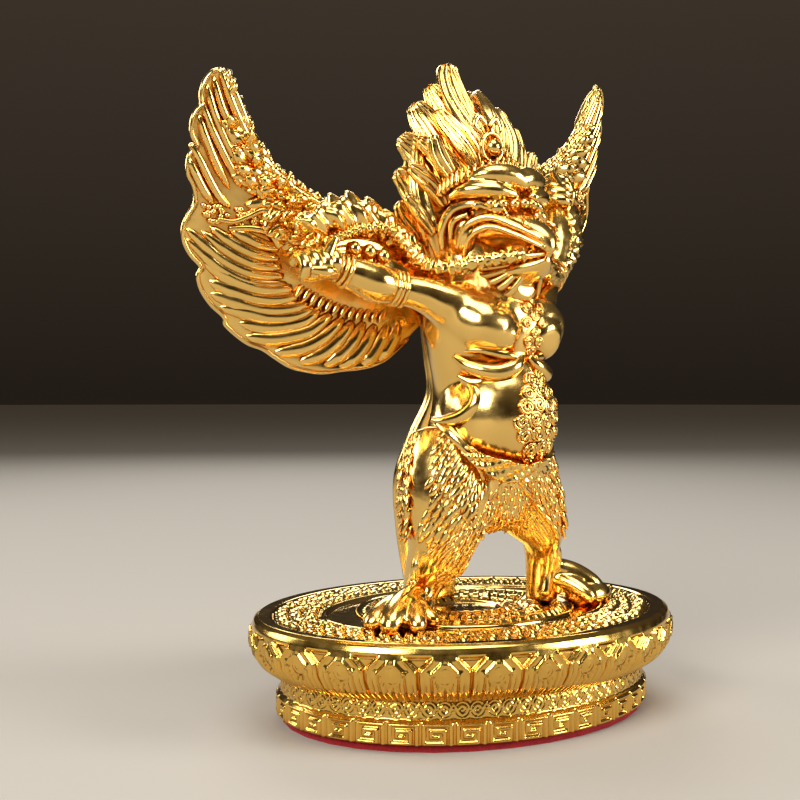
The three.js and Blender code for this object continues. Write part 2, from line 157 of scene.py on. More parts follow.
def gold_plating(name, polished, painted_recess_shade, ripple=0.00005, dull=(0.13, 0.27)):
    """
    Metallic shader: the colour goes from the painted shade colour of recesses to polished with the occlusion, the
    roughness wavers between the two values of dull, and ripple is the height of the skin's waves in metres.
    """
    material = bpy.data.materials.new(name)
    material.use_nodes = True
    tree = material.node_tree
    shader = tree.nodes["Principled BSDF"]
    place = add(tree, "ShaderNodeTexCoord")
    # Painted shade: the occlusion darkens the colour towards the recess colour in grooves and hollows.
    recess_shade_mask = add(tree, "ShaderNodeAmbientOcclusion", settings=[("samples", 6)], values=[("Distance", GROOVE_REACH)])
    tone = add(tree, "ShaderNodeValToRGB", links=[("Fac", recess_shade_mask, "AO")],
               stops=[(0.25, linear(painted_recess_shade)), (0.85, linear(polished))])
    tree.links.new(tone.outputs["Color"], shader.inputs["Base Color"])
    cloud = add(tree, "ShaderNodeTexNoise", values=[("Scale", HAZE_SCALE), ("Detail", 3.0)],
                links=[("Vector", place, "Object")])
    haze = add(tree, "ShaderNodeValToRGB", links=[("Fac", cloud, "Fac")],
               stops=[(0.3, grey(dull[0])), (0.75, grey(dull[1]))])
    tree.links.new(haze.outputs["Color"], shader.inputs["Roughness"])
    grain = add(tree, "ShaderNodeTexNoise", values=[("Scale", RIPPLE_SCALE), ("Detail", 2.0)],
                links=[("Vector", place, "Object")])
    bump = add(tree, "ShaderNodeBump", values=[("Strength", 0.35), ("Distance", ripple)],
               links=[("Height", grain, "Fac")])
    tree.links.new(bump.outputs["Normal"], shader.inputs["Normal"])
    shader.inputs["Metallic"].default_value = 1.0
    return material


# The figure was polished by hand as wax, so its plating wavers: bright yellow, with a painted orange shade in every
# groove.
figure_gold = gold_plating("bright_gold_plating", "#F4CB74", "#CF8420")
# The foot and the petals were cast smoother, so their skin ripples less. Their gold is a slightly deeper yellow: a
# painted shade for these parts that lie lower.
base_gold = gold_plating("bright_gold_plating_base", "#EBBF5F", "#C97D18", ripple=0.00003)
# The deck's beads are almost mirrors: small sharp highlights, and a painted shade in the recesses that is brown, not
# orange.
deck_gold = gold_plating("mirror_gold_plating_deck", "#EFCB78", "#A97F34", ripple=0.00002, dull=(0.07, 0.14))
print("metals:", figure_gold.name, base_gold.name, deck_gold.name)

# %% [markdown]
# ## Red felt
#
# The pad is wool felt, dyed red, punched from a sheet and glued under the base. Only its edge shows: matt, with a
# fine fleck where the fibres stand up. The colour and the bump come from one noise as fine as the fibres.

# %% Red felt


def red_felt():
    """Matt red wool felt: short fibres in every direction show as a fine fleck, lighter where they stand up."""
    material = bpy.data.materials.new("red_wool_felt")
    material.use_nodes = True
    tree = material.node_tree
    shader = tree.nodes["Principled BSDF"]
    place = add(tree, "ShaderNodeTexCoord")
    fibres = add(tree, "ShaderNodeTexNoise", links=[("Vector", place, "Object")],
                 values=[("Scale", FIBRE_SCALE), ("Detail", 4.0), ("Roughness", 0.7)])
    tone = add(tree, "ShaderNodeValToRGB", links=[("Fac", fibres, "Fac")],
               stops=[(0.3, linear("#6E0C10")), (0.7, linear("#A8161A"))])
    tree.links.new(tone.outputs["Color"], shader.inputs["Base Color"])
    nap = add(tree, "ShaderNodeBump", values=[("Strength", 0.6), ("Distance", 0.00005)],
              links=[("Height", fibres, "Fac")])
    tree.links.new(nap.outputs["Normal"], shader.inputs["Normal"])
    shader.inputs["Roughness"].default_value = 0.95
    return material


felt = frame["nodes"]["felt_pad"].data
felt.materials.clear()
felt.materials.append(red_felt())
print("felt:", felt.materials[0].name)

# %% [markdown]
# ## Curves and swept sections
#
# A limb, feather or ring is an oval section carried along a line. The line is a Catmull-Rom curve through a few
# chosen stations, each with its place, half width and half depth, so the thickness changes as smoothly as the line.

# %% Curve and sweep functions


def unit(vectors):
    """Vectors divided by their length."""
    return vectors / np.linalg.norm(vectors, axis=-1, keepdims=True)


def curve_at(stations, t):
    """Catmull-Rom curve at shares t of its run: cubic weights blend the four stations around each place."""
    p = np.asarray(stations, float)
    p = np.vstack([2 * p[0] - p[1], p, 2 * p[-1] - p[-2]])
    run = np.clip(np.asarray(t, float), 0, 1) * (len(p) - 3)
    i = np.minimum(run.astype(int), len(p) - 4)
    u = (run - i)[..., None]
    a, b, c, d = (p[i + k] for k in range(4))
    return 0.5 * (2 * b + (c - a) * u + (2 * a - 5 * b + 4 * c - d) * u**2 + (3 * b - a - 3 * c + d) * u**3)


def axes_at(stations, facing, t):
    """The curve's values, its heading, the direction across it and the direction outwards, at shares t."""
    step = 1e-3
    here = curve_at(stations, t)
    heading = unit((curve_at(stations, np.add(t, step)) - curve_at(stations, np.subtract(t, step)))[..., :3])
    across = unit(np.cross(heading, np.asarray(facing, float)))
    return here, heading, across, np.cross(across, heading)


def ring_of(across, out, wide, deep, around, full=1.0):
    """Section points: across * wide * cos(turn) + out * deep * sin(turn), boxier where full is under 1."""
    turn = np.arange(around) * TURN / around
    c, s = np.cos(turn), np.sin(turn)
    c, s = np.sign(c) * np.abs(c) ** full, np.sign(s) * np.abs(s) ** full
    return across[..., None, :] * (wide * c)[..., None] + out[..., None, :] * (deep * s)[..., None]


def limb(stations, facing=(0, -1, 0), along=40, around=24, relief=None, full=1.0):
    """A limb on stations (x, y, z, half width, half depth). Relief, in mm, is added along the section's radius."""
    t = np.linspace(0, 1, along)
    here, _, across, out = axes_at(stations, facing, t)
    turn = np.arange(around) * TURN / around
    swell = relief(t[:, None], turn[None]) if relief else np.zeros((along, around))
    wide = np.maximum(here[:, 3:4] + swell, 0.08)
    deep = np.maximum(here[:, 4:5] + swell, 0.08)
    return here[:, None, :3] + ring_of(across, out, wide, deep, around, full)


def sweep(path, normal, wide, deep, around=10, full=1.0):
    """Oval sections along given points, many paths at once. Normals say which way the sections' depth faces."""
    heading = unit(np.gradient(path, axis=-2))
    across = unit(np.cross(heading, normal))
    out = np.cross(across, heading)
    wide, deep = (np.broadcast_to(np.asarray(v, float), path.shape[:-1])[..., None] for v in (wide, deep))
    return path[..., None, :] + ring_of(across, out, wide, deep, around, full)


def egg(centre, radii, rows=24, columns=32, tilt=0.0):
    """An ellipsoid: centre + radii * (sin a cos b, sin a sin b, cos a), tilted about X."""
    a = np.linspace(0.03, np.pi - 0.03, rows)[:, None]
    b = np.arange(columns)[None] * TURN / columns
    ball = np.stack([np.sin(a) * np.cos(b), np.sin(a) * np.sin(b), np.cos(a) + 0 * b], -1) * np.asarray(radii)
    y, z = ball[..., 1].copy(), ball[..., 2].copy()
    ball[..., 1] = y * np.cos(tilt) - z * np.sin(tilt)
    ball[..., 2] = y * np.sin(tilt) + z * np.cos(tilt)
    return ball + np.asarray(centre)


def on_limb(stations, facing, t, turn):
    """Places on a limb's skin at shares t and angles turn, with the heading and the outward normal there."""
    here, heading, across, out = axes_at(stations, facing, t)
    c, s = np.cos(turn)[..., None], np.sin(turn)[..., None]
    wide, deep = here[..., 3:4], here[..., 4:5]
    point = here[..., :3] + across * wide * c + out * deep * s
    return point, heading, unit(across * c / wide + out * s / deep)


def quills(root, heading, out, length, width, depth, lift=0.25, rows=6, columns=8):
    """
    Many small feathers at once. Each runs from its root along its heading, rises by lift * t^2 * length, and its
    half width goes from broad to a point. Its section is a little boxier than an oval.
    """
    t = np.linspace(0, 1, rows)
    length, width, depth = (np.broadcast_to(np.asarray(v, float), root.shape[:-1]) for v in (length, width, depth))
    run = (length[..., None] * t)[..., None]
    rise = (length[..., None] * lift * t**2)[..., None]
    path = root[..., None, :] + heading[..., None, :] * run + out[..., None, :] * rise
    taper = np.interp(t, [0, 0.25, 0.6, 0.85, 1], [0.6, 1, 0.95, 0.6, 0.1])
    normal = np.broadcast_to(out[..., None, :], path.shape)
    return sweep(path, normal, width[..., None] * taper, depth[..., None] * np.sqrt(taper), columns, full=0.8)


def staggered(t_range, turn_range, rows, columns):
    """A grid of (t, turn) places where every second row is moved by half a step."""
    t = np.linspace(*t_range, rows)[:, None]
    step = (turn_range[1] - turn_range[0]) / columns
    turn = turn_range[0] + step * (np.arange(columns)[None] + 0.5 * (np.arange(rows) % 2)[:, None])
    t, turn = np.broadcast_arrays(t, turn)
    return t.ravel(), turn.ravel()


print("a test limb has", limb([(0, 0, 0, 1, 1), (0, 0, 5, 1, 1)]).shape, "points")

# %% [markdown]
# ## From grids to a mesh
#
# Each grid is a closed tube, so its rows join into quads and each end is shut by a fan. The sign of the volume
# inside a grid says whether its faces look inwards, and then they are turned round.

# %% Mesh builder


def tube_faces(rows, columns):
    """Corner numbers of one tube: quads between rows, and the two fans whose middles come after the grid."""
    row = np.arange(rows - 1)[:, None] * columns
    column = np.arange(columns)[None]
    after = (column + 1) % columns
    quads = np.stack([row + column, row + after, row + after + columns, row + column + columns], -1)
    here, top = column[0], (rows - 1) * columns
    low_fan = np.stack([np.full(columns, rows * columns), after[0], here], -1)
    high_fan = np.stack([np.full(columns, rows * columns + 1), top + here, top + after[0]], -1)
    return quads.reshape(-1, 4), np.vstack([low_fan, high_fan])


def volume_sign(points, quads, fans):
    """Sign of the sum of a . (b x c) over all triangles of each tube."""
    triangles = np.vstack([quads[:, :3], quads[:, [0, 2, 3]], fans])
    middle = points.mean(1, keepdims=True)
    a, b, c = ((points - middle)[:, triangles[:, k]] for k in range(3))
    return np.sign((a * np.cross(b, c)).sum((1, 2)))


def shells_to_mesh(name, shells, level):
    """One mesh from closed grids in millimetres, raised by level, with its faces outwards."""
    points, quads, fans, start = [], [], [], 0
    for grid in shells:
        rows, columns = grid.shape[-3:-1]
        tubes = grid.reshape(-1, rows, columns, 3)
        ends = np.stack([tubes[:, 0].mean(1), tubes[:, -1].mean(1)], 1)
        corners = np.concatenate([tubes.reshape(len(tubes), -1, 3), ends], 1)
        tube_quads, tube_fans = tube_faces(rows, columns)
        turned = volume_sign(corners, tube_quads, tube_fans)[:, None, None] < 0
        first = start + np.arange(len(tubes))[:, None, None] * corners.shape[1]
        quads.append((np.where(turned, tube_quads[:, ::-1], tube_quads) + first).reshape(-1, 4))
        fans.append((np.where(turned, tube_fans[:, ::-1], tube_fans) + first).reshape(-1, 3))
        points.append(corners.reshape(-1, 3))
        start += corners.shape[0] * corners.shape[1]
    places = (np.vstack(points) + (0, 0, level)) * MM
    mesh = bpy.data.meshes.new(name)
    mesh.from_pydata(places.tolist(), [], np.vstack(quads).tolist() + np.vstack(fans).tolist())
    mesh.shade_smooth()
    return mesh


def piece(name, mesh, material, node):
    """Shows a mesh as a piece of the ornament that stands for a CAD node and rides with the frame."""
    shown = bpy.data.objects.new(name, mesh)
    bpy.context.scene.collection.objects.link(shown)
    mesh.materials.clear()
    mesh.materials.append(material)
    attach(shown, "root")
    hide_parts(node)
    triangles = sum(len(face.vertices) - 2 for face in mesh.polygons)
    print(f"{name}: {triangles} triangles")


def figure_piece(name, shells):
    """A piece of the figure from closed grids in millimetres above the soles."""
    piece(name, shells_to_mesh(name, shells, soles), figure_gold, "garuda_figure")


def base_piece(name, shell, gold):
    """A piece of the lotus base from one closed grid in millimetres above the ground."""
    piece(name, shells_to_mesh(name, [shell], 0), gold, "lotus_base")


def fused(name, shells, level, voxel, rounds):
    """Fuses overlapping tubes into one skin with a voxel remesh, then relaxes it, as wax flows at a joint."""
    rough = bpy.data.objects.new(name, shells_to_mesh(name, shells, level))
    bpy.context.scene.collection.objects.link(rough)
    remesh = rough.modifiers.new("fuse", "REMESH")
    remesh.mode = "VOXEL"
    remesh.voxel_size = voxel * MM
    remesh.use_smooth_shade = True
    relax = rough.modifiers.new("relax", "SMOOTH")
    relax.factor = 0.5
    relax.iterations = rounds
    ready = bpy.data.meshes.new_from_object(rough.evaluated_get(bpy.context.evaluated_depsgraph_get()))
    bpy.data.objects.remove(rough)
    ready.name = name
    return ready


# %% [markdown]
# ## The body
#
# The trunk, belly, breasts, thighs and upper arms were one lump of wax: polished, with soft joints. They are fused
# from tubes and eggs by a voxel remesh. The voxels are a little finer than the smallest soft form, and the fused
# skin is relaxed until one form flows into the next.

# %% Body stations
TRUNK = [(0, -4.5, 15, 7, 7), (0, -4, 22, 12, 9.5), (0, -3.5, 29, 11, 8.8), (0, -3.8, 37, 9, 7.8),
         (0, -5, 44, 11, 9), (0, -5.4, 50, 12.2, 9.6), (0, -3.5, 56, 9.4, 8.4), (0.3, -1.4, 64, 8.2, 8.2),
         (0.6, -2, 70, 7.4, 7.4)]
RIGHT_LEG = [(-6.5, -3.5, 30, 7.2, 7.2), (-8.6, -4.6, 24.5, 7.9, 8), (-9.6, -5.2, 18.5, 7.5, 7.9),
             (-10.8, -5, 12, 5.6, 6.2), (-11.6, -2.8, 7.5, 3.9, 4.3), (-12, -1.3, 3.6, 3.1, 3.2),
             (-12, -1, 0, 3.1, 3.3)]
LEFT_LEG = [(6, -4.5, 30, 6.8, 6.8), (7.8, -6, 24.5, 6, 6.4), (10, -7, 18, 5.1, 5.6), (12, -7, 13.4, 4, 4.4),
            (14.4, -5, 9.4, 3.1, 3.3), (15.2, -4.2, 4.4, 2.9, 3), (15.4, -4, 0, 3, 3.2)]
RIGHT_ARM = [(-3, -7.5, 51.4, 5.2, 5.4), (-9.5, -7.4, 52.6, 4.1, 4.3), (-14.5, -5.6, 54.6, 3.1, 3.1),
             (-19, -3.8, 55.6, 2.7, 2.7), (-22.8, -3, 56.3, 3.6, 3.4), (-26.6, -2.2, 57.5, 3, 2.9),
             (-30.4, -1.1, 58.8, 2, 2)]
LEFT_ARM = [(3, -7.5, 51, 5.2, 5.4), (9, -7.6, 53.4, 4.1, 4.2), (14.4, -5.6, 58, 2.8, 2.9), (18.6, -4, 62, 2.8, 2.9),
            (22, -2, 67, 3.1, 3.1), (25, 1, 72.4, 2, 2), (26, 2.2, 74.6, 1.8, 1.8)]
RIGHT_ARM_FACING = (0, 0, 1)
LEFT_ARM_FACING = (0, -1, 0.3)
MANE = [(0, 2.6, 70, 6, 3), (0, 4, 62, 7, 3), (0, 4.2, 53, 6.6, 2.8), (0, 3.6, 45, 6, 2.4), (0, 3.4, 38, 5.4, 2.6),
        (0, 6.6, 31, 6.4, 3.6), (0, 9.4, 23, 7.8, 4), (0, 9.6, 13, 7.2, 3.2), (0, 9.2, 5, 6, 2.2),
        (0, 9, 0, 5.2, 1.8)]
BELLY = (-0.6, -10, 34.2)
BELLY_RADII = (10, 8.7, 10.6)
print("stations:", len(TRUNK), "in the trunk,", len(RIGHT_LEG), "in each leg and arm,", len(MANE), "in the mane")

# %% Fused body
body_shells = [
    limb(TRUNK, around=40),
    egg(BELLY, BELLY_RADII, 30, 40),
    egg((-0.4, -11, 40.6), (5.4, 5.4, 5), 24, 32, tilt=-0.3),
    limb([(-9.4, -7.4, 52, 4, 4.2), (-6, -10.4, 49.6, 5.6, 5), (-3.2, -13.4, 47.8, 4.2, 3.8),
          (-2.2, -15, 47.2, 2, 2)], (0, 0, 1), 24, 32),
    limb([(9, -7.4, 52.4, 4, 4.2), (6.6, -10.6, 50, 5.4, 5), (5.6, -13.6, 48, 4.4, 4.4), (5.6, -16, 47.4, 2.2, 2.6)],
         (0, 0, 1), 24, 32),
    *(egg((x, -6.6, 35), (2.4, 4, 6.6)) for x in (-7.6, 7.6)),
    limb(RIGHT_LEG), limb(LEFT_LEG), limb(RIGHT_ARM, RIGHT_ARM_FACING), limb(LEFT_ARM, LEFT_ARM_FACING),
    limb([(-9.8, -5, 12.8, 3.6, 3.4), (-5, -5.6, 17, 4.4, 3.6), (0, -6, 18.2, 4.6, 3.8), (5, -6.4, 17.4, 4.2, 3.6),
          (11, -6.4, 13, 3, 3)], (0, -1, 0), 30, 24),
]
body_mesh = fused("body", body_shells, soles, voxel=0.52, rounds=10)
print("fused body:", len(body_mesh.polygons), "faces")
piece("body", body_mesh, figure_gold, "garuda_figure")

# %% [markdown]
# ## Places on the fused skin
#
# Fine forms are laid where the photo shows them. A place is given as (aside, level): how far to the right it is,
# as the photo's camera sees it, and how high above the soles. A level line of sight from there finds the skin and
# its normal.

# %% Places on the skin
SIGHT, ASIDE = np.array([0.643, 0.766, 0]), np.array([0.766, -0.643, 0])


def skin_tree(mesh):
    """A search tree over a mesh's faces, which finds where a line meets them or which place is nearest."""
    return BVHTree.FromPolygons([corner.co for corner in mesh.vertices], [face.vertices for face in mesh.polygons])


def seen_skin(mesh, places):
    """Where lines of sight through (aside, level) places first meet a skin: points, normals, which ones met it."""
    tree = skin_tree(mesh)
    starts = places[:, :1] * ASIDE + (places[:, 1:] + soles) * (0, 0, 1) - 80 * SIGHT
    hits = [tree.ray_cast(start * MM, SIGHT) for start in starts]
    met = np.array([hit[0] is not None for hit in hits])
    point = np.array([hit[0] for hit in hits if hit[0] is not None]) / MM - (0, 0, soles)
    return point, np.array([hit[1] for hit in hits if hit[0] is not None]), met


def laid(mesh, point, along_sight=True):
    """Points moved onto a skin: along the line of sight or, where that misses it, to the nearest place on it."""
    tree = skin_tree(mesh)
    flat = point.reshape(-1, 3) + (0, 0, soles)
    seen = [tree.ray_cast((here - 40 * SIGHT) * MM, SIGHT)[0] if along_sight else None for here in flat]
    place = [tree.find_nearest(here * MM)[0] if hit is None else hit for here, hit in zip(flat, seen)]
    return (np.array(place) / MM - (0, 0, soles)).reshape(point.shape)


def strewn(polygon, pitch, jitter=0.15):
    """
    Staggered places inside a polygon. A place is inside if a line from it crosses the outline an odd number of
    times. Each place is moved by a small random share of the pitch.
    """
    corners = np.asarray(polygon, float)
    low, high = corners.min(0), corners.max(0)
    s, z = np.meshgrid(np.arange(low[0], high[0], pitch), np.arange(low[1], high[1], pitch * 0.9))
    s = s + 0.5 * pitch * (np.arange(len(s)) % 2)[:, None]
    places = np.stack([s.ravel(), z.ravel()], -1) + scatter.normal(0, jitter * pitch, (s.size, 2))
    a, b = corners, np.roll(corners, -1, 0)
    above = (places[:, None, 1] < a[:, 1]) != (places[:, None, 1] < b[:, 1])
    cross = a[:, 0] + (places[:, None, 1] - a[:, 1]) * (b[:, 0] - a[:, 0]) / (b[:, 1] - a[:, 1] + 1e-9)
    return places[(above & (places[:, None, 0] < cross)).sum(1) % 2 == 1]


scatter = np.random.default_rng(5)
print("places in a 4 mm square:", len(strewn([(0, 0), (4, 0), (4, 4), (0, 4)], 1)))

# %% [markdown]
# ## Strips with a drawn face
#
# Feathers and crown leaves are flat strips with raised ridges on the face. In wax they are drawn with a rounded
# tool that leaves two or more bars side by side. Each strip is a grid: one way runs along it, the other across the
# face and back round the rear.

# %% Ribbon function


def ribbon(centre, front, wide, height, rear):
    """
    A strip: u runs from 1 to -1 across the face, which stands height(along, u) off the middle, and back again
    across the rear, rear(along, u) behind the middle. Points are centre + across * wide * u + out * height.
    """
    heading = unit(np.gradient(centre, axis=-2))
    across = unit(np.cross(heading, front))
    out = np.cross(across, heading)
    u = np.concatenate([np.linspace(1, -1, height.shape[-1]), np.linspace(-1, 1, rear.shape[-1] + 2)[1:-1]])
    rise = np.concatenate([height, -rear[..., ::-1]], -1)
    return centre[..., None, :] + across[..., None, :] * (wide[..., None] * u)[..., None] + (
        out[..., None, :] * rise[..., None])


def rounded(t, start=0.9):
    """Width share that falls to a blunt round end: sqrt(1 - s^2) over the last part."""
    s = np.clip((t - start) / (1 - start), 0, 1)
    return np.sqrt(1 - 0.96 * s**2)


def leaf(stations, facing=(0, -1, 0.2), ridges=4, along=24, depth=1.0):
    """
    A crown leaf on stations (x, y, z, half width): round ridges run along its face, as |sin| of the place across,
    which wanders a little, and shallower ones along its rear.
    """
    t = np.linspace(0, 1, along)
    here, _, _, out = axes_at(stations, facing, t)
    u = np.linspace(1, -1, 5 * ridges + 1)[None]
    wander = 0.12 * np.sin(5 * t[:, None] + 3 * here[0, 2]) + 0.1 * np.sin(3 * u + here[0, 0])
    fade = np.interp(t, [0, 0.1, 0.92, 1], [0.5, 1, 1, 0.5])[:, None]
    bars = np.abs(np.sin(np.pi * ridges * (u + 1 + wander) / 2)) ** 0.7 * fade
    height = depth * np.sqrt(1 - 0.9 * u**6) * (0.4 + 0.8 * bars)
    return ribbon(here[:, :3], out, here[:, 3] * rounded(t, 0.94), height, 0.7 * height[:, 1:-1])


def mirrored(stations, middle=0.8):
    """The same stations on the figure's other side."""
    return [(2 * middle - x, *rest) for x, *rest in stations]


print("a test leaf has", leaf([(0, 0, 0, 1), (0, 0, 5, 1)]).shape, "points")

# %% [markdown]
# ## Folds and ornaments on the body
#
# The modeller drew the folds of the skin as raised lips: one along the lower edge of the breasts, one round the
# flank, and a ragged leaf of cloth under the belly. A round patch of scrollwork lies on the belly and a pendant
# of scrolls between the breasts. They are laid on the smooth skin.

# %% Folds and the leaf of cloth
FOLDS = [
    [(-10.6, -8.4, 44.4, 0.3, 0.3), (-9.4, -11.2, 42.6, 0.8, 0.7), (-6.4, -14.4, 41.6, 1.1, 0.9),
     (-3.4, -15.6, 42.6, 1, 0.9), (-1.2, -15.4, 44.4, 0.4, 0.4)],
    [(-10.2, -8, 45.2, 0.3, 0.3), (-8.2, -11.8, 45.4, 0.5, 0.5), (-5, -14.6, 44.6, 0.6, 0.5),
     (-2.6, -15.6, 44.2, 0.3, 0.3)],
    [(-9.8, -8.6, 41, 0.4, 0.4), (-8.2, -11.4, 39.8, 0.9, 0.6), (-5.6, -13.8, 40.2, 0.8, 0.6),
     (-3.8, -14.6, 41, 0.3, 0.3)],
    [(-8.9, -9.4, 40.2, 0.4, 0.4), (-8.7, -11.8, 38.4, 0.9, 0.8), (-9.1, -12.2, 36.2, 1.1, 1),
     (-10.1, -10.4, 34.2, 1.1, 0.9), (-11.2, -6.8, 33.4, 0.8, 0.7), (-11.2, -3.6, 33.6, 0.4, 0.4)],
    [(-11.6, -5.4, 33, 0.4, 0.4), (-11.6, -8.8, 31.4, 0.9, 0.8), (-10.4, -11.2, 28.6, 0.8, 0.8),
     (-9, -12.6, 26, 0.5, 0.5), (-8, -12.8, 23.6, 0.3, 0.3)],
]
fold_shells = [limb(np.array(stations) * (1, 1, 1, 1.35, 1.35), (-0.5, -1, 0), 36, 14) for stations in FOLDS]
fold_shells += [shell * (-1, 1, 1) - (1, 0, 0) for shell in fold_shells]
CLOTH = [(-10.6, -9.8, 29.8), (-9.4, -13, 27.6), (-6.4, -15.4, 25.8), (-2, -16.6, 25.2), (2.2, -16, 25.8),
         (6.4, -13.4, 27.4), (9, -10, 29.4)]
t = np.linspace(0, 1, 90)
cloth_wide = np.sin(np.pi * np.clip(t, 0.02, 0.98)) ** 0.6 * (1.9 + 0.25 * np.sin(23 * t) + 0.15 * np.sin(57 * t))
u = np.linspace(1, -1, 17)[None]
ragged = 0.45 * np.abs(np.sin(9 * np.pi * t[:, None] + 2.5 * u)) + 0.3 * np.abs(np.sin(53 * t[:, None] - 3 * u))
cloth = ribbon(curve_at(CLOTH, t), np.array((-0.2, -1, -0.5)), cloth_wide, 0.5 + 0.25 * u**2 + ragged,
               np.full((90, 3), 0.6))
fold_shells.append(cloth)
figure_piece("folds_and_cloth", fold_shells)

# %% Scrollwork on the belly and the pendant


def spirals(centres, on, size, turns=2.2, along=50, around=8):
    """Coiled wires: radius size * (1 - 0.85 t) over the given turns, laid on a surface by on(x, z)."""
    t = np.linspace(0, 1, along)[None]
    hand = np.where(np.arange(len(centres)) % 2, 1, -1)[:, None]
    start = (np.arange(len(centres)) * 2.4)[:, None]
    radius = size * (1 - 0.85 * t)
    angle = start + hand * TURN * turns * t
    x = centres[:, :1] + radius * np.cos(angle)
    z = centres[:, 1:] + radius * np.sin(angle)
    point, normal = on(x, z)
    thick = size * 0.2 * np.interp(t, [0, 0.1, 1], [0.4, 1, 1.3]) * np.ones_like(x)
    return sweep(point + normal * size * 0.15, normal, thick, thick * 1.3, around)


def on_egg(centre, radii):
    """The front of an egg at (x, z): y = cy - ry sqrt(1 - ((x - cx) / rx)^2 - ((z - cz) / rz)^2)."""
    def place(x, z):
        a, b = (x - centre[0]) / radii[0], (z - centre[2]) / radii[2]
        c = np.sqrt(np.clip(1 - a * a - b * b, 0.04, 1))
        normal = unit(np.stack([a / radii[0], -c / radii[1], b / radii[2]], -1))
        return np.stack([x, centre[1] - radii[1] * c, z], -1), normal
    return place


def on_skin(front, along_sight):
    """The same front, laid on the fused body."""
    def place(x, z):
        point, normal = front(x, z)
        return laid(body_mesh, point, along_sight), normal
    return place


PATCH_ROWS = [(-7, 2, 0.6), (-4.8, 3, 0.9), (-2.4, 4, 0.2), (0, 4, -0.5), (2.4, 4, 0.3), (4.8, 3, -0.2),
              (6.8, 2, 0.3)]
patch = np.array([((i - (count - 1) / 2) * 2.5 + aside, row + 0.5 * (i % 2))
                  for row, count, aside in PATCH_ROWS for i in range(count)])
belly_front = on_skin(on_egg(BELLY, BELLY_RADII), False)
scroll_shells = [spirals(patch + (0.2, 33.4), belly_front, 1.45)]
pendant_front = on_skin(on_egg((0.4, -12.6, 50.2), (5.6, 4.6, 7.4)), True)
pendant = np.array([(0, 4.4), (-1.6, 2.8), (1.6, 2.8), (0, 1.4), (-1.8, 0.2), (1.8, 0.2), (0, -1.4), (-1.2, -3),
                    (1.2, -3), (0, -4.6)])
scroll_shells.append(spirals(pendant + (0.4, 50), pendant_front, 1.0))
figure_piece("scrollwork", scroll_shells)

# %% [markdown]
# ## The head
#
# The head is a bird's with a heavy hooked beak, swollen brows and a low fringe. The big forms flow into each other,
# so they are fused, with finer voxels than the body. The crisp bars along the mouth, the curls round the eyes and
# the strands of the jaw are laid on afterwards.

# %% Fused head
UPPER_BEAK = [(0.6, -6, 67, 6.4, 5), (0.7, -11.6, 66.6, 4.9, 3.6), (0.6, -16, 65.2, 3.5, 2.6),
              (0.5, -19, 63.6, 2.1, 1.9), (0.4, -20.4, 61.6, 0.8, 0.8)]
LOWER_BEAK = [(0.6, -4, 60, 6.8, 3.6), (0.7, -11, 58.8, 5, 2.8), (0.6, -16.6, 59.4, 3.2, 1.9),
              (0.5, -19.8, 60.6, 0.8, 0.6)]
THROAT = [(0.6, -2, 60, 6.8, 6), (0.6, -7, 57.4, 6, 4.6), (0.6, -11.6, 56, 4.4, 3.4), (0.6, -14.6, 56.4, 2.4, 2)]
BROWS = [
    [(-9.2, -5.6, 71.6, 0.6, 0.6), (-7.8, -9, 72.6, 1.7, 1.4), (-4.4, -12, 72.6, 2, 1.5),
     (-1, -13.8, 71.8, 0.9, 0.8)],
    [(-7.6, -8.6, 74.6, 0.7, 0.6), (-5, -10.8, 75.4, 2, 1.7), (-1.2, -12, 75.4, 2.4, 2),
     (1.6, -12.6, 74.2, 1.9, 1.8)],
]
head_shells = [
    egg((0.6, -4.2, 70), (8, 8.4, 8), 30, 40), limb(UPPER_BEAK, (0, -0.2, 1), 50, 32, full=0.9),
    limb(LOWER_BEAK, (0, 0, 1), 40, 28), limb(THROAT, (0, -1, 0.6), 30, 28),
    *(limb(brow, (0, -0.4, 1), 30, 20) for brow in BROWS),
    *(limb(mirrored(brow), (0, -0.4, 1), 30, 20) for brow in BROWS),
    *(egg((0.6 + side * 7, -4.6, 66), (2.4, 4.4, 4.8)) for side in (-1, 1)),
    *(egg((0.6 + side * 4.4, -12, 69.6), (1.7, 1.7, 1.5)) for side in (-1, 1)),
    egg((0.6, -14.2, 62.6), (2.4, 4.8, 3)),
]
head_mesh = fused("head", head_shells, soles, voxel=0.34, rounds=3)
piece("head", head_mesh, figure_gold, "garuda_figure")

# %% Bars, curls and strands on the head
MOUTH_BARS = [
    [(-6.9, -6.8, 61.6, 0.5, 0.5), (-6.9, -8.4, 65, 0.7, 0.6), (-5.2, -11.4, 66.4, 0.7, 0.6),
     (-3.2, -15.8, 64.8, 0.6, 0.6), (-0.9, -20.2, 62.4, 0.4, 0.4)],
    [(-8, -6.2, 62.8, 0.4, 0.4), (-7.6, -8, 66.6, 0.65, 0.6), (-5.5, -11.4, 68, 0.7, 0.6),
     (-3.5, -16, 66.2, 0.6, 0.55), (-1.3, -20.2, 63.8, 0.35, 0.35)],
    [(-6.8, -7, 60.6, 0.5, 0.5), (-5.2, -11.4, 60.8, 0.65, 0.55), (-3, -16.2, 61, 0.55, 0.45),
     (-0.6, -19.8, 61.4, 0.3, 0.3)],
]
EAR_BARS = [
    [(-5, -12.2, 69.2, 0.35, 0.35), (-7.2, -9.6, 70.4, 0.75, 0.5), (-8.8, -6, 69.6, 0.85, 0.5),
     (-9.6, -4.2, 66.4, 0.75, 0.5), (-9.2, -3.8, 62.6, 0.35, 0.35)],
    [(-8, -9, 68.6, 0.3, 0.3), (-9.2, -6.6, 67.4, 0.5, 0.4), (-9.2, -5.8, 64.4, 0.3, 0.3)],
]
NOSTRIL = [(-2.2, -16.6, 67.4, 0.35, 0.35), (-3, -17.6, 66.6, 0.5, 0.45), (-2.6, -18.6, 65.8, 0.35, 0.35)]
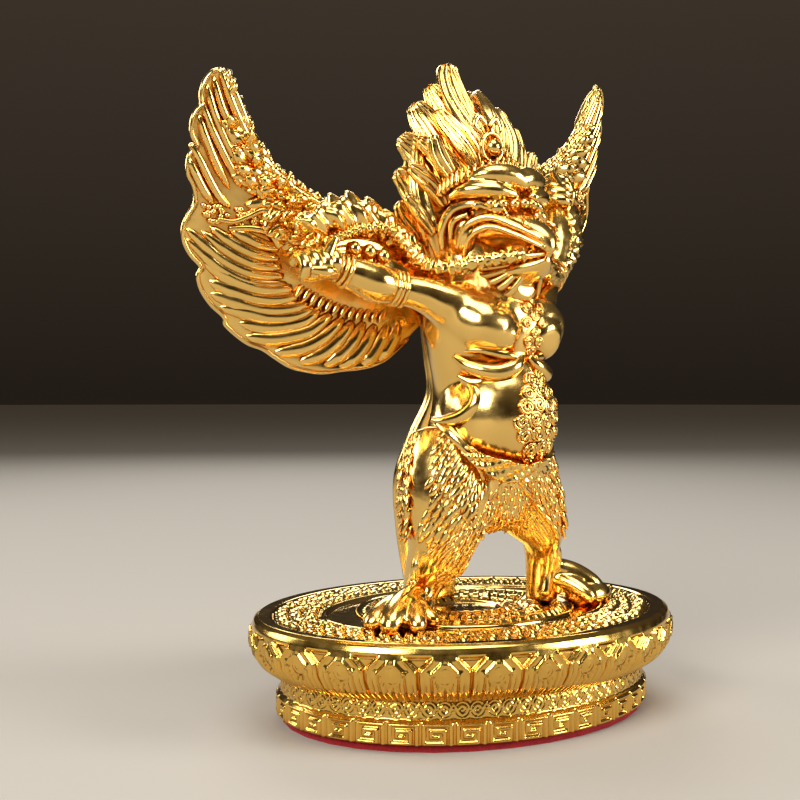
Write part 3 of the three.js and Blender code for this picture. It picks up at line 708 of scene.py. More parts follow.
head_bars = [limb(bar, (-1, -0.4, 0.3), 40, 14) for bar in [*MOUTH_BARS, *EAR_BARS, NOSTRIL]]
head_bars += [limb(mirrored(bar, 0.6), (1, -0.4, 0.3), 40, 14) for bar in [*MOUTH_BARS, *EAR_BARS, NOSTRIL]]
CURLS = np.array([(-6.8, -9.8, 70), (-5.4, -11.8, 70.2), (-3.8, -13.2, 70.2), (-2.2, -14.4, 70.2), (-0.4, -15, 70.4)])
curl_places = np.vstack([CURLS, CURLS * (-1, 1, 1) + (1.2, 0, 0)])
curls = np.stack([egg(place, (0.95, 0.9, 0.85), 10, 14) for place in curl_places])
JAW_ROOTS = [(-7, -5, 60), (-6.8, -5.4, 58.4), (-6.2, -6, 56.8), (-5.2, -7, 55.4), (-3.8, -8.4, 54.4)]
strands = [
    limb([(x, y, z, 0.55, 0.4), (x * 0.72, y - 5, z * 0.8 + 11.4, 0.7, 0.5),
          (x * 0.3 + 0.3, y * 0.4 - 13.6, 58.8 + z * 0.02, 0.35, 0.3)], (-0.8, -0.3, -0.6), 24, 10)
    for x, y, z in JAW_ROOTS
]
strands += [strand * (-1, 1, 1) + (1.2, 0, 0) for strand in strands]
figure_piece("head_bars_and_curls", [*head_bars, curls, *strands])

# %% [markdown]
# ## The crown
#
# A fan of flame leaves stands round a leaning core, with a jewel in front and a fringe of short lashes above the
# brows. The leaves have round bars along them and blunt ends that turn a little forwards.

# %% Crown
CORE = [(0.4, -1, 73, 8.6, 7.8), (0.1, 0.2, 79, 7.4, 5.4), (-0.4, 2, 85, 6, 3), (-0.8, 3.8, 91, 3.2, 1.6),
        (-0.9, 4.8, 95.4, 1.4, 0.9)]
CROWN_LEAVES = [
    ([(-3.2, -4.6, 78.4, 1.8), (-3.4, -0.8, 84.4, 3.2), (-3.9, 2.6, 89.6, 2.9), (-4.8, 4.6, 93.2, 1.5)], 5),
    ([(-5.2, -4, 76, 1.8), (-6.4, -0.6, 81.6, 3.4), (-7.6, 2.4, 86, 3.1), (-9, 4, 89.4, 1.7)], 5),
    ([(-7.2, -2.6, 72, 1.8), (-8.8, -0.4, 77.2, 3.1), (-10.6, 2, 80.8, 2.9), (-12.9, 3.4, 82.8, 1.6)], 5),
    ([(-9, -1.4, 66.4, 1.7), (-10.4, 0, 71.2, 2.9), (-12, 1.8, 74.8, 2.6), (-14, 3, 76.8, 1.5)], 4),
    ([(-9, 0, 62, 1.5), (-10.6, 1, 66.2, 2.6), (-12.2, 2.2, 69.4, 2.3), (-13.4, 2.8, 71.6, 1.3)], 4),
    ([(-3.6, -6.6, 77, 1.2), (-4.8, -4.4, 81.6, 2.1), (-6, -1.6, 85.2, 1.9), (-7.2, 0.2, 87.6, 1)], 4),
    ([(-6.2, -5.4, 74.4, 1.2), (-8, -3.6, 78.2, 2), (-9.8, -1.4, 80.8, 1.8), (-11.4, 0, 82.2, 1)], 4),
    ([(-8.4, -4, 70.4, 1.1), (-10, -2.4, 73.8, 1.8), (-11.6, -0.6, 76, 1.6), (-13, 0.6, 77.2, 0.9)], 3),
    ([(-9.6, -2.6, 65.6, 1.1), (-11, -1.2, 68.6, 1.7), (-12.2, 0.2, 70.8, 1.5), (-13.4, 1, 72.2, 0.9)], 3),
]
FRONT_LEAVES = [
    ([(0.2, -8.2, 80, 1.5), (1.2, -6, 85.6, 2.4), (2.3, -2.4, 89.6, 2.2), (3, 0.6, 92.2, 1.2)], 4),
    ([(3, -8.2, 78.6, 1.5), (4.4, -6.4, 83.2, 2.4), (5.2, -3.8, 86.8, 2.1), (5.7, -1.8, 89.2, 1.2)], 4),
    ([(5.8, -7.4, 76.8, 1.4), (7, -6.2, 80.6, 2), (7.6, -4.8, 83.6, 1.8), (7.8, -3.6, 85.8, 1)], 3),
]
FLANK = [(-4, 0, 60, 4.6, 4), (-6.4, 0.4, 68, 5.4, 4), (-8, 1.2, 75, 5, 3), (-7.6, 2.4, 82, 3.4, 1.8),
         (-5.6, 3.4, 88, 1.6, 0.8)]
crown_shells = [limb(core, around=56, along=32, relief=lambda t, turn: 0.6 * np.abs(np.sin(9 * turn + 2 * t)) - 0.3)
                for core in (CORE, FLANK, mirrored(FLANK, 0.1))]
for stations, ridges in CROWN_LEAVES:
    crown_shells.append(leaf(stations, (-0.5, -1, 0.3), ridges))
    crown_shells.append(leaf(mirrored(stations, 0.1), (0.5, -1, 0.3), ridges))
crown_shells += [leaf(stations, (0.2, -1, 0.3), ridges) for stations, ridges in FRONT_LEAVES]
TOP_LEAF = [(-1.6, -7, 79, 1.6), (-1.8, -3.6, 84.6, 3), (-1.5, 0.6, 90, 3.1), (-1, 3.4, 94.6, 2.5),
            (-0.8, 4.4, 97.6, 1.8)]
REAR_LEAF = [(1.6, -2, 82, 1.6), (1.8, 2.4, 88, 2.2), (1.6, 5, 92, 2), (1.4, 6, 95.4, 1.2)]
crown_shells.append(leaf(TOP_LEAF, (-0.1, -1, 0.4), ridges=5, depth=1.2))
crown_shells.append(leaf(REAR_LEAF, (0.3, -1, 0.3), ridges=4))
for side in (-1, 1):
    side_leaf = [(side * 8.6, -5.4, 75, 1.2), (side * 10.8, -5, 78.4, 1.7), (side * 12.2, -4.4, 82, 1.1)]
    crown_shells.append(leaf(side_leaf, (side * 0.3, -1, 0.1), ridges=3))
print("crown leaves:", 2 * len(CROWN_LEAVES) + len(FRONT_LEAVES) + 4)

# %% Jewel and fringe of the crown
BAND = [(-10.4, -3.6, 72.6, 1, 1), (-8, -8, 75.2, 1, 1), (-0.6, -11, 77.4, 1, 1), (7.2, -8.4, 75.6, 1, 1),
        (10, -4, 73, 1, 1)]
band_here, _, _, _ = axes_at(BAND, (0, 0, 1), np.linspace(0.04, 0.96, 24))
outwards = unit(band_here[:, :3] * (1, 1, 0) - (0.4, -3, 0))
crown_shells.append(quills(band_here[:, :3] - (0, 0, 1.2), unit(-outwards * 0.2 + (0, 0, 1)), outwards, 2.8, 0.5, 0.6,
                           lift=0.1, columns=10))
JEWEL = np.array([-1.9, -9, 80.6])
crown_shells.append(egg(JEWEL, (1.5, 1.3, 1.5), 20, 24))
ring_turn = np.linspace(0, TURN, 40)
ring_path = JEWEL + np.stack([2.4 * np.cos(ring_turn), 0.5 + 0 * ring_turn, 2.5 * np.sin(ring_turn)], -1)
crown_shells.append(sweep(ring_path, (0, -1, 0.2), 0.4, 0.5))
crown_shells += [
    limb([(JEWEL[0] + side * 0.3, -7.6, 84.6, 0.35, 0.35), (JEWEL[0] + side * 2, -7.4, 86, 0.6, 0.5),
          (JEWEL[0] + side * 3, -7.4, 84.2, 0.55, 0.5), (JEWEL[0] + side * 1.9, -7.8, 83.2, 0.4, 0.4)],
         along=24, around=12)
    for side in (-1, 1)
]
figure_piece("crown", crown_shells)

# %% [markdown]
# ## The wings
#
# A wing is one curved sheet of wax with a scalloped rim. Its feathers are drawn as round bars that lie on the sheet
# and taper to its rim. The sheet's curve is given as how far back it lies for each span and level, and the bars
# follow it. Outlines are in (span, level): mm out from the middle, and mm above the soles. The left wing has the
# same outlines, held higher.

# %% Wing outlines
WING_EDGE = [(45.6, 90.4), (43.4, 85.6), (40.4, 80.2), (34.2, 73.8), (25.6, 69.4), (16, 66.6), (8.5, 60)]
SHEET_ROOT = [(40.4, 80.2), (34.2, 73.8), (25.6, 69.4), (16, 66.6), (8.5, 60), (6, 51)]
SHEET_RIM = [
    (45.8, 90.6), (47.2, 90), (48.2, 88.5), (48.6, 86.6), (48.4, 84.8), (49.2, 83.6), (49.6, 82), (49.4, 80.2),
    (48.5, 78.4), (49.4, 77), (49.6, 75.4), (49.3, 73.8), (48.3, 72), (47.9, 69.4), (48.8, 67.2), (49.3, 65.4),
    (49, 63.2), (47.8, 61), (46, 59), (46.3, 57.4), (45.4, 55), (43.7, 52.7), (41.6, 50.8), (41, 49.2), (37.6, 46.5),
    (34.8, 45.4), (32.6, 44), (30, 42.5), (27.2, 41.8), (24.2, 41.5), (20.6, 42), (17.2, 42.4), (14.2, 43.2),
    (11.8, 44.9), (9, 47.6),
]
LOBE_BARS = [
    [(44.5, 89), (42.8, 86), (41.2, 83), (40, 80.5)],
    [(45.6, 89.8), (44, 86.2), (42, 82.6), (39.6, 78.8), (37.6, 76.4)],
    [(46.4, 88.3), (45, 84.4), (42.8, 80.6), (40.5, 77), (38.2, 74.2)],
    [(47.3, 87), (46.2, 83.6), (44, 79.4), (41.3, 75.2), (39.6, 72.6)],
    [(47.8, 84.4), (46.5, 81.4), (44.5, 78), (42.2, 74.4), (40.6, 72)],
    [(48.2, 82.4), (46.9, 79.2), (44.9, 75.4), (42.4, 71.6)],
    [(48.8, 78), (47.6, 76), (45.8, 73), (44, 70.4), (42, 68.6)], [(49, 75.8), (48, 73.8), (46.4, 71.2), (44.6, 69)],
]
MIDDLE_BARS = [
    [(33.6, 62.4), (37, 63.2), (39.4, 64.2), (41.4, 65)],
    [(33.4, 60.8), (36.8, 61.3), (39.8, 62.4), (42.5, 63.9), (44.4, 65.4)],
    [(32.9, 59.4), (36.6, 59.6), (40, 60.8), (43, 62.5), (45.6, 64.6)],
    [(32.4, 58), (36.2, 58), (39.8, 59), (43.2, 60.8), (46.2, 63.2), (48, 65)],
    [(31.8, 56.6), (36, 56.5), (39.4, 57.3), (42.7, 58.9), (45.4, 61), (47.8, 63.4)],
]
FAN_BARS = [
    [(30.8, 56), (35, 55.7), (38.8, 56.5), (42, 57.9), (45, 60)],
    [(29.6, 54.8), (33.5, 54), (37.5, 54.4), (40.8, 55.4), (43.8, 56.8)],
    [(27.8, 53.4), (32, 52.4), (36.4, 52.5), (40, 53.5), (43.4, 54.8)],
    [(26.8, 52.8), (30.2, 51.3), (34.4, 51), (38, 51.8), (41.8, 52.6)],
    [(25.8, 52.6), (28.5, 50.5), (31.8, 49.6), (34.8, 49.4), (38.6, 50.2)],
    [(23.6, 51.8), (27, 49), (30.3, 47.9), (33.6, 47.4), (37.4, 48)],
    [(21.4, 51.2), (24, 48.4), (26.8, 46.5), (29.5, 45.6), (32.6, 45.4)],
    [(19.5, 50.6), (22.2, 47.2), (25, 44.9), (28.4, 43.7)], [(17.4, 50.6), (19.5, 47), (21.4, 44.9), (24, 43.2)],
    [(15.2, 50.2), (17, 46.8), (19, 44.4), (21.4, 42.9)], [(12.8, 50.4), (14, 47.4), (15.8, 44.6), (17.4, 43.3)],
    [(10.8, 50.7), (11.4, 48.2), (12.8, 45.8), (14.4, 44.2)],
]
print("bars on a wing:", len(LOBE_BARS) + len(MIDDLE_BARS) + len(FAN_BARS))

# %% Wing surface and feathers


def wing_back(span, level):
    """How far back the wing lies: 5.5 + 0.05 span, and more with the span below its leading edge."""
    below = np.maximum(0, 0.686 * (span - 8) - 0.728 * (level - 60))
    return 5.5 + 0.05 * span + 0.006 * below * span


def on_wing(side, raised, outline, lift):
    """Points of the wing at (span, level), lifted off its face along the normal, and that normal."""
    span, level = outline[..., 0], outline[..., 1]
    step = 0.2
    by_span = (wing_back(span + step, level) - wing_back(span - step, level)) / (2 * step)
    by_level = (wing_back(span, level + step) - wing_back(span, level - step)) / (2 * step)
    normal = unit(np.stack([side * by_span, -np.ones_like(span), by_level], -1))
    point = np.stack([side * span, wing_back(span, level), level + raised], -1)
    return point + normal * np.asarray(lift)[..., None], normal


def bar(side, raised, outline, half_width, face=1, tip=-1, along=26):
    """A round bar along an outline of (span, level), drawn out by 5 % at its tip and sunk in at both ends."""
    t = np.linspace(0, 1, along)
    outline = np.asarray(outline, float)
    outline[tip] += 0.05 * (outline[tip] - outline[-1 - tip])
    shape = np.interp(t, [0, 0.1, 0.3, 0.75, 0.92, 1], [0.5, 0.8, 1, 1, 0.65, 0.15])
    centre, normal = on_wing(side, raised, curve_at(outline, t), face * (0.1 + 0.5 * shape))
    return sweep(centre, normal * face, half_width * shape, 0.85 * shape, 10)


def wing_sheet(side, raised):
    """The sheet: straight runs from the root to the scalloped rim, thicker near the body, dished inside the rim."""
    share = np.linspace(0, 1, 170)[:, None]
    run = np.array([0, 0.2, 0.36, 0.5, 0.62, 0.74, 0.84, 0.9, 0.95, 0.98, 1])[None]
    root, rim = curve_at(SHEET_ROOT, share), curve_at(SHEET_RIM, share)
    outline = root + (rim - root) * run[..., None]
    thinning = np.interp(run, [0, 0.5, 0.84, 0.95, 0.98, 1], [1, 0.5, 0.4, 1, 0.9, 0.15])
    half = np.interp(outline[..., 0], [8, 24], [1.5, 0.5]) * thinning
    front, _ = on_wing(side, raised, outline, half)
    rear, _ = on_wing(side, raised, outline, -half)
    return np.concatenate([front, rear[:, ::-1]], 1)


def edge_half(t):
    """Half thickness of the round leading edge at shares t, from the tip to the shoulder."""
    return np.interp(t, [0, 0.1, 0.5, 1], [0.5, 1, 1.3, 2.2])


print("a wing's sheet has", wing_sheet(-1, 0).shape, "points")

# %% Coverts, lashes and tufts of a wing
rng = np.random.default_rng(11)


def coverts(side, raised, face=1):
    """Short overlapping scales on the inner wing, in staggered rows that follow the leading edge, none alike."""
    count = 10 if face > 0 else 6
    share, row = np.meshgrid(np.linspace(0.09, 0.6, 2 * count + 8), np.linspace(0.01, 0.44, count), indexing="ij")
    share = share + 0.5 * (np.arange(count) % 2) * (share[1, 0] - share[0, 0]) + rng.normal(0, 0.006, share.shape)
    root, rim = curve_at(SHEET_ROOT, share), curve_at(SHEET_RIM[::2], share)
    outline = root + (rim - root) * row[..., None]
    lift = face * (0.5 + 0 * row)
    point, normal = on_wing(side, raised, outline, lift)
    ahead, _ = on_wing(side, raised, outline + (rim - root) * 0.04, lift)
    heading = unit(unit(ahead - point) + rng.normal(0, 0.3, point.shape))
    size = rng.uniform(0.7, 1.5, share.shape).ravel()
    return quills(point.reshape(-1, 3), heading.reshape(-1, 3), (normal * face).reshape(-1, 3), 2.7 * size,
                  0.95 * size, 0.85, lift=0.22, rows=5, columns=6)


def lashes(side, raised):
    """The row of short feathers over the roots of the lower fan."""
    outline = curve_at([(29, 56.6), (24.2, 54.4), (19, 53), (13.6, 52.8)], np.linspace(0, 1, 12))
    point, normal = on_wing(side, raised, outline, np.full(12, 0.7))
    ahead, _ = on_wing(side, raised, outline + (0.6, -1), np.full(12, 0.7))
    return quills(point, unit(ahead - point), normal, 2.6, 0.55, 0.6, lift=0.12, rows=10, columns=12)


def edge_tufts(side, raised):
    """Small tufts along the leading edge that point outwards and up, in three rows round it."""
    shells = []
    for turn, count in ((-0.5, 34), (0.3, 36), (1.1, 34)):
        t = np.linspace(0.06, 0.97, count) + rng.normal(0, 0.006, count)
        point, normal = on_wing(side, raised, curve_at(WING_EDGE, t), np.zeros(count))
        ahead, _ = on_wing(side, raised, curve_at(WING_EDGE, t - 0.02), np.zeros(count))
        along = unit(ahead - point)
        above = unit(np.cross(along, normal) * np.sign(np.cross(along, normal)[:, 2:]))
        out = normal * np.cos(turn + 0.3) + above * np.sin(turn + 0.3)
        heading = unit(along + 0.35 * above + rng.normal(0, 0.2, along.shape))
        root = point + out * (edge_half(t) * 0.8)[:, None]
        shells.append(quills(root, heading, out, rng.uniform(1.2, 2.2, count), 0.6, 0.45, lift=0.1))
    return np.concatenate(shells)


# %% Both wings
LEFT_WING_RAISED = 11.4
CURLED_BARS = [([(44, 66.8), (41.4, 66.6), (39, 67.6), (36.8, 68.6), (35.2, 67.4), (36, 66)], 1.0, 0.35, 0.7),
               ([(42, 65.4), (38.6, 65.6), (35.4, 65), (33.4, 63)], 0.7, 0.45, 0.9)]


def wing(side, raised):
    """All shells of one wing: its sheet, bars on both faces, rim, small feathers, round edge, arm and scrollwork."""
    shells = [wing_sheet(side, raised)]
    for face in (1, -1):
        shells += [bar(side, raised, outline, 0.75, face, tip=0) for outline in LOBE_BARS]
        shells += [bar(side, raised, outline, 1.05, face) for outline in MIDDLE_BARS]
        shells += [bar(side, raised, outline, 1.4, face) for outline in FAN_BARS]
    rim = curve_at(SHEET_RIM, np.linspace(0.01, 0.99, 200))
    inwards = unit(np.array([30, 64]) - rim)
    point, normal = on_wing(side, raised, rim + 0.35 * inwards, np.zeros(200))
    shells.append(sweep(point, normal, 0.42, 0.75, 10))
    shells += [coverts(side, raised), coverts(side, raised, -1), lashes(side, raised), edge_tufts(side, raised)]
    t = np.linspace(0, 1, 60)
    point, normal = on_wing(side, raised, curve_at(WING_EDGE, t), np.zeros(60))
    shells.append(sweep(point, normal, edge_half(t), edge_half(t) * 1.1, 18))
    shells.append(limb([(side, 1.6, 52 + raised * 0.2, 4, 2.8), (side * 8, 4.4, 58 + raised * 0.7, 3.9, 2.8),
                        (side * 15, 6, 63.6 + raised, 3.1, 2.2), (side * 24, 7, 68 + raised, 1.6, 1.6)]))
    for outline, lift, narrow, broad in CURLED_BARS:
        point, normal = on_wing(side, raised, curve_at(outline, t), np.full(60, lift))
        half = np.linspace(narrow, broad, 60)
        shells.append(sweep(point, normal, half, half, 12))
    ball, _ = on_wing(side, raised, np.array([36.4, 67.6]), np.array(1.3))
    shells.append(egg(ball, (0.85, 0.85, 0.85), 12, 16))
    grains = rng.uniform((37.5, 66), (46.5, 69), (40, 2))
    point, _ = on_wing(side, raised, grains, np.full(40, 0.6))
    shells.append(np.stack([egg(place, (0.55, 0.5, 0.5), 6, 8) for place in point]))
    return shells


for side, raised, name in ((-1, 0, "right_wing"), (1, LEFT_WING_RAISED, "left_wing")):
    figure_piece(name, wing(side, raised))

# %% [markdown]
# ## Hands, bracelets and the serpent
#
# Each hand grips upwards round the serpent. Hands and claws are small enough to be laid on as single tubes: where
# they meet, the crease between them is what the casting shows too. The serpent runs from one hand through the beak
# to the other. Its cord has rows of scales, each row moved by half a scale, and along its right half stands a fleshy
# fin with wrinkles, five blunt points and a web below.

# %% Hands and bangles


def band_rings(stations, facing, shares, thick):
    """Rings round a limb at the given shares of its length."""
    turn = np.linspace(0, TURN, 49)
    t = np.asarray(shares, float)[:, None] + 0 * turn[None]
    path, heading, normal = on_limb(stations, facing, t, turn[None] + 0 * t)
    return sweep(path, normal, thick, thick * 1.1, 10)


def fist(wrist, knuckles, up, front, pointing):
    """
    A fist: the palm from the wrist to the knuckles, four fingers that curl from the back of the palm over its
    front, a thumb and the fingertip that points up.
    """
    wrist, knuckles, up, front = (np.asarray(v, float) for v in (wrist, knuckles, up, front))
    along = unit(knuckles - wrist)
    middle = (wrist + knuckles) / 2
    shells = [limb([(*wrist, 1.9, 1.7), (*middle, 2.3, 1.7), (*knuckles, 2, 1.5)], front, 20, 20)]
    for step, size in ((0.1, 1.2), (0.42, 1.35), (0.76, 1.3), (1.08, 1.1)):
        base = wrist + (knuckles - wrist) * step
        finger = [(base + up * 1.2 - front * 1.4, 0.8), (base + up * 2.2 + front * 0.6, 1),
                  (base + up * 0.6 + front * 2.6, 1), (base - up * 1.5 + front * 2, 0.7)]
        shells.append(limb([(*place, size * share, size * share) for place, share in finger], along, 20, 14))
    shells.append(limb([(*(wrist + front * 1.8 - up * 1.2), 1.1, 1.1), (*(middle + front * 3.2 - up * 0.8), 1.1, 1),
                        (*(knuckles + front * 3.2 - up * 0.2), 0.6, 0.6)], front, 20, 14))
    halfway = (middle + np.asarray(pointing)) / 2 + front * 0.9
    shells.append(limb([(*(middle + front * 2.4), 1.3, 1.3), (*halfway, 1.1, 1.1), (*pointing, 0.4, 0.4)],
                       front, 24, 14))
    return shells


arm_shells = [
    band_rings(RIGHT_ARM, RIGHT_ARM_FACING, [0.47, 0.505, 0.54, 0.905, 0.94, 0.975], 0.42),
    band_rings(LEFT_ARM, LEFT_ARM_FACING, [0.38, 0.42, 0.46, 0.9, 0.935, 0.97], 0.42),
    *fist((-31.2, -1, 58.8), (-36.2, 0.4, 58), (0.1, 0, 1), (0, -1, 0), (-31.6, -3.4, 63.4)),
    *fist((26, 2.2, 74.6), (27.6, 3.8, 79), (-1, 0, 0.2), (0, -1, 0), (24, 1.6, 81.4)),
]
figure_piece("hands_and_bangles", arm_shells)

# %% Serpent
SERPENT_FIN = [(-36.5, 1.5, 65.6, 1, 1.2), (-32.5, 1.2, 66.2, 2.2, 1.8), (-28, 1.2, 67.2, 3.2, 2.2),
               (-23.5, 1.2, 67.6, 3.2, 2.2), (-19.4, 1, 66.8, 2.8, 2), (-16, 0.2, 64.9, 2.2, 1.7),
               (-12.6, -1.6, 62.4, 1.4, 1.2)]
SERPENT_CORD = [
    (-30, 0, 63.2, 0.7, 0.7), (-27, -0.4, 64.6, 0.75, 0.8), (-24, -0.4, 65.6, 0.8, 0.85),
    (-19.2, -0.8, 66, 0.9, 0.9), (-16.6, -1.8, 64, 1, 1), (-14.4, -3.2, 61.2, 1.1, 1.1),
    (-12.8, -5.2, 59.6, 1.2, 1.2), (-10.4, -8.6, 59.4, 1.2, 1.2), (-7.4, -12.6, 60.4, 1.15, 1.15),
    (-3.4, -16, 61.2, 1, 1), (1, -17.4, 61.4, 1, 1), (6.6, -14, 60, 1.1, 1.1), (13.4, -8.6, 58.8, 1.3, 1.3),
    (19.4, -5.6, 61.6, 1.5, 1.4), (24.4, -3.8, 67.4, 1.8, 1.6), (27.4, 1, 74, 1.9, 1.6), (26.4, 4.6, 79.4, 1.1, 1.1),
]
FIN_POINTS = [(-29, 1.4, 69.8), (-25.4, 1.4, 70.6), (-21.2, 1.4, 70), (-17.4, 1.2, 68.2), (-15, 0.6, 66.2)]


def scales(rows, columns, height):
    """Relief of overlapping scales: height * (1 - place in the row) * (1 - (2 * place across - 1)^2) - 0.3 height."""
    def relief(t, turn):
        down = t * rows
        row = np.floor(down)
        around = turn / TURN * columns + 0.5 * (row % 2)
        return height * (1 - (down - row)) * (1 - (2 * (around - np.floor(around)) - 1) ** 2) - height * 0.3
    return relief


def wrinkles(t, turn):
    """Relief of the serpent's fin: two waves that cross, sin(34 t + 4 sin turn) and sin(61 t - 5 sin(turn + 1))."""
    return 0.32 * np.sin(34 * t + 4 * np.sin(turn)) + 0.2 * np.sin(61 * t - 5 * np.sin(turn + 1)) - 0.2


serpent_shells = [limb(SERPENT_FIN, along=150, around=48, relief=wrinkles),
                  limb(SERPENT_CORD, along=320, around=26, relief=scales(66, 6, 0.6))]
WEB = [(-30, 1.4, 61.4, 0.8), (-26, 1.1, 62, 2.6), (-21, 0.8, 61.7, 3.6), (-16, -0.4, 60.4, 3.7),
       (-11, -3, 58.6, 2.9), (-7, -4.8, 57.6, 1.6)]
serpent_shells.append(leaf(WEB, (0, -1, 0.2), ridges=3, along=40, depth=0.3))
for x, y, z in FIN_POINTS:
    point = [(x + 1.2, y - 0.6, z - 3.6, 1.6, 1.2), (x + 0.9, y, z - 1.6, 2.6, 1.3), (x + 0.3, y, z, 1.5, 0.8),
             (x - 0.5, y, z + 1.3, 0.3, 0.3)]
    serpent_shells.append(limb(point, along=16, around=16))
BUMPS = [(-25, 0.4, 62.2), (-22, 0.2, 61.9), (-19.4, -0.4, 61.2)]
serpent_shells.append(np.stack([egg(place, (1.2, 1.2, 1.4), 12, 16) for place in BUMPS]))
figure_piece("serpent", serpent_shells)

# %% [markdown]
# ## Feather breeches, feet and mane
#
# The thighs wear breeches of small pointed feathers, set in staggered rows like roof slates. They are one array of
# little tubes with a few dozen faces each: on the parts that the photo shows they are strewn over panels of the
# skin, and behind they follow the legs. The feet are a bird's: toes that arch over a knuckle to a hooked claw. A
# mane of long strips runs down the back and ends as the tail between the feet.

# %% Breeches
THIGH_PANEL = [(-4.7, 32.4), (-1.8, 27.8), (-0.1, 25.7), (3.3, 22.8), (2.4, 20.3), (0.8, 18.6), (-3, 15.3),
               (-7.2, 12.7), (-8.9, 14.4), (-7.8, 16.9), (-6.4, 20.3), (-6.8, 22.8), (-6.8, 25.7), (-6.4, 29.5)]
INNER_PANEL = [(-7.1, 12.1), (-2.8, 14.7), (1.1, 18.1), (3.2, 19.8), (4.5, 14.7), (2.8, 11.3), (0.2, 8.7), (-2.4, 7),
               (-5.2, 5), (-5.4, 9.1)]
WEB_PANEL = [(4.3, 22.6), (8.6, 23.1), (11.7, 19.2), (15.6, 14.4), (15.2, 12.6), (10.8, 12.2), (7.3, 13.9),
             (4.7, 14.4), (3.4, 18.7)]
LEFT_PANEL = [(10.3, 24.6), (15.7, 29), (17.2, 23.7), (17.7, 15.7), (15.9, 14.1), (12.1, 18.8), (9, 22.8)]
BORDER = [(8.6, 23.4), (10.2, 20.8), (12.1, 18.6), (14.2, 16), (15.8, 13.8), (16.2, 12.2)]
degrees = np.radians


def breeches(stations, t_range, turn_range, rows, columns, length=2.2, width=0.6, aside=-0.1, lift=0.0):
    """Pointed feathers on a leg: rooted on its skin, they point down the leg and a share aside, towards -X."""
    t, turn = staggered(t_range, turn_range, rows, columns)
    point, heading, normal = on_limb(stations, (0, -1, 0), t, turn)
    size = np.interp(t, [0, 0.2, 0.6], [0.9, 1.1, 0.8]) * rng.uniform(0.8, 1.2, t.shape)
    drift = rng.normal(0, 0.12, point.shape) + (aside, 0, 0)
    way = unit(heading + drift - normal * 0.06)
    return quills(point, way, normal, length * size, width * size, 0.36 * size, lift=lift, rows=5, columns=6)


def panel(polygon, pitch, towards, length, width, depth, lift=0.1, wild=0.12):
    """Feathers strewn over a polygon of (aside, level), pointing the given way on the skin, or away from a place."""
    places = strewn(polygon, pitch)
    point, normal, met = seen_skin(body_mesh, places)
    way = unit(places[met] - towards) if len(towards) == 2 else np.broadcast_to(towards[:2], places[met].shape)
    heading = way[:, :1] * ASIDE + way[:, 1:] * np.array([0, 0, 1]) + scatter.normal(0, wild, point.shape)
    heading = unit(heading - (heading * normal).sum(-1, keepdims=True) * normal)
    size = scatter.uniform(0.8, 1.2, len(point))
    root = point - normal * 0.1 - heading * length * 0.4
    return quills(root, heading, normal, length * size, width * size, depth * size, lift=lift, rows=5, columns=7)


plumage = [
    panel(THIGH_PANEL, 1.2, (-0.55, -1, 0), 2.8, 0.66, 0.42, lift=0.12),
    panel(INNER_PANEL, 0.95, (-0.7, -1, 0), 2.4, 0.34, 0.3),
    panel(WEB_PANEL, 1.25, (6.5, 27), 3, 0.3, 0.26, lift=0.02, wild=0.08),
    panel(LEFT_PANEL, 1.05, (0.35, -1, 0), 2.5, 0.44, 0.36),
    breeches(RIGHT_LEG, (0.02, 0.4), (degrees(120), degrees(200)), 11, 6, aside=-0.3),
    breeches(RIGHT_LEG, (0.02, 0.43), (degrees(200), degrees(357)), 12, 17, length=3, width=0.5),
    breeches(LEFT_LEG, (0.02, 0.5), (degrees(110), degrees(200)), 14, 8, aside=0.05),
    breeches(LEFT_LEG, (0.02, 0.44), (degrees(200), degrees(340)), 11, 12, length=2.6, width=0.5),
]
border, facing, _ = seen_skin(body_mesh, curve_at(BORDER, np.linspace(0, 1, 40)))
rough = 0.5 + 0.12 * np.sin(np.arange(len(border)) * 1.1)
plumage.append(sweep(border, facing, rough, rough * 1.2, 10))
figure_piece("breeches", plumage)

# %% Feet
RIGHT_TOES = [(-25.4, -3, 2.6, 1.7), (-28, -7.2, 3.2, 2), (-27.4, -11.4, 3.4, 2.1), (-23.4, -14, 3, 1.9),
              (-17.6, -11.8, 2.4, 1.6)]
LEFT_TOES = [(19.4, -13.2, 3.4, 1.7), (24, -11.6, 5, 2), (26.4, -7.6, 4, 1.7)]
TENDONS = [
    [(-13.4, -3.6, 12.4, 0.6, 0.6), (-15, -4.2, 9.4, 1.1, 1), (-15.3, -3.6, 5.6, 1, 0.9), (-16.6, -3.8, 2, 0.9, 0.8)],
    [(-10.4, -5.6, 11.6, 0.6, 0.6), (-12.4, -5.2, 8.6, 1.2, 1.1), (-13, -4.8, 5, 1.1, 1), (-14.4, -5.4, 2, 1, 0.9)],
    [(11.8, -7.6, 12.4, 0.6, 0.6), (13.4, -7.8, 9.4, 1, 1), (14, -6.8, 5.4, 1, 1), (13.4, -6.6, 1.4, 1.3, 1.2)],
    [(14.6, -7, 12, 0.6, 0.6), (15.8, -7.2, 9, 1.2, 1.1), (16.4, -6.6, 5.2, 1.2, 1.1), (17.4, -7.2, 1.6, 1.5, 1.3)],
]


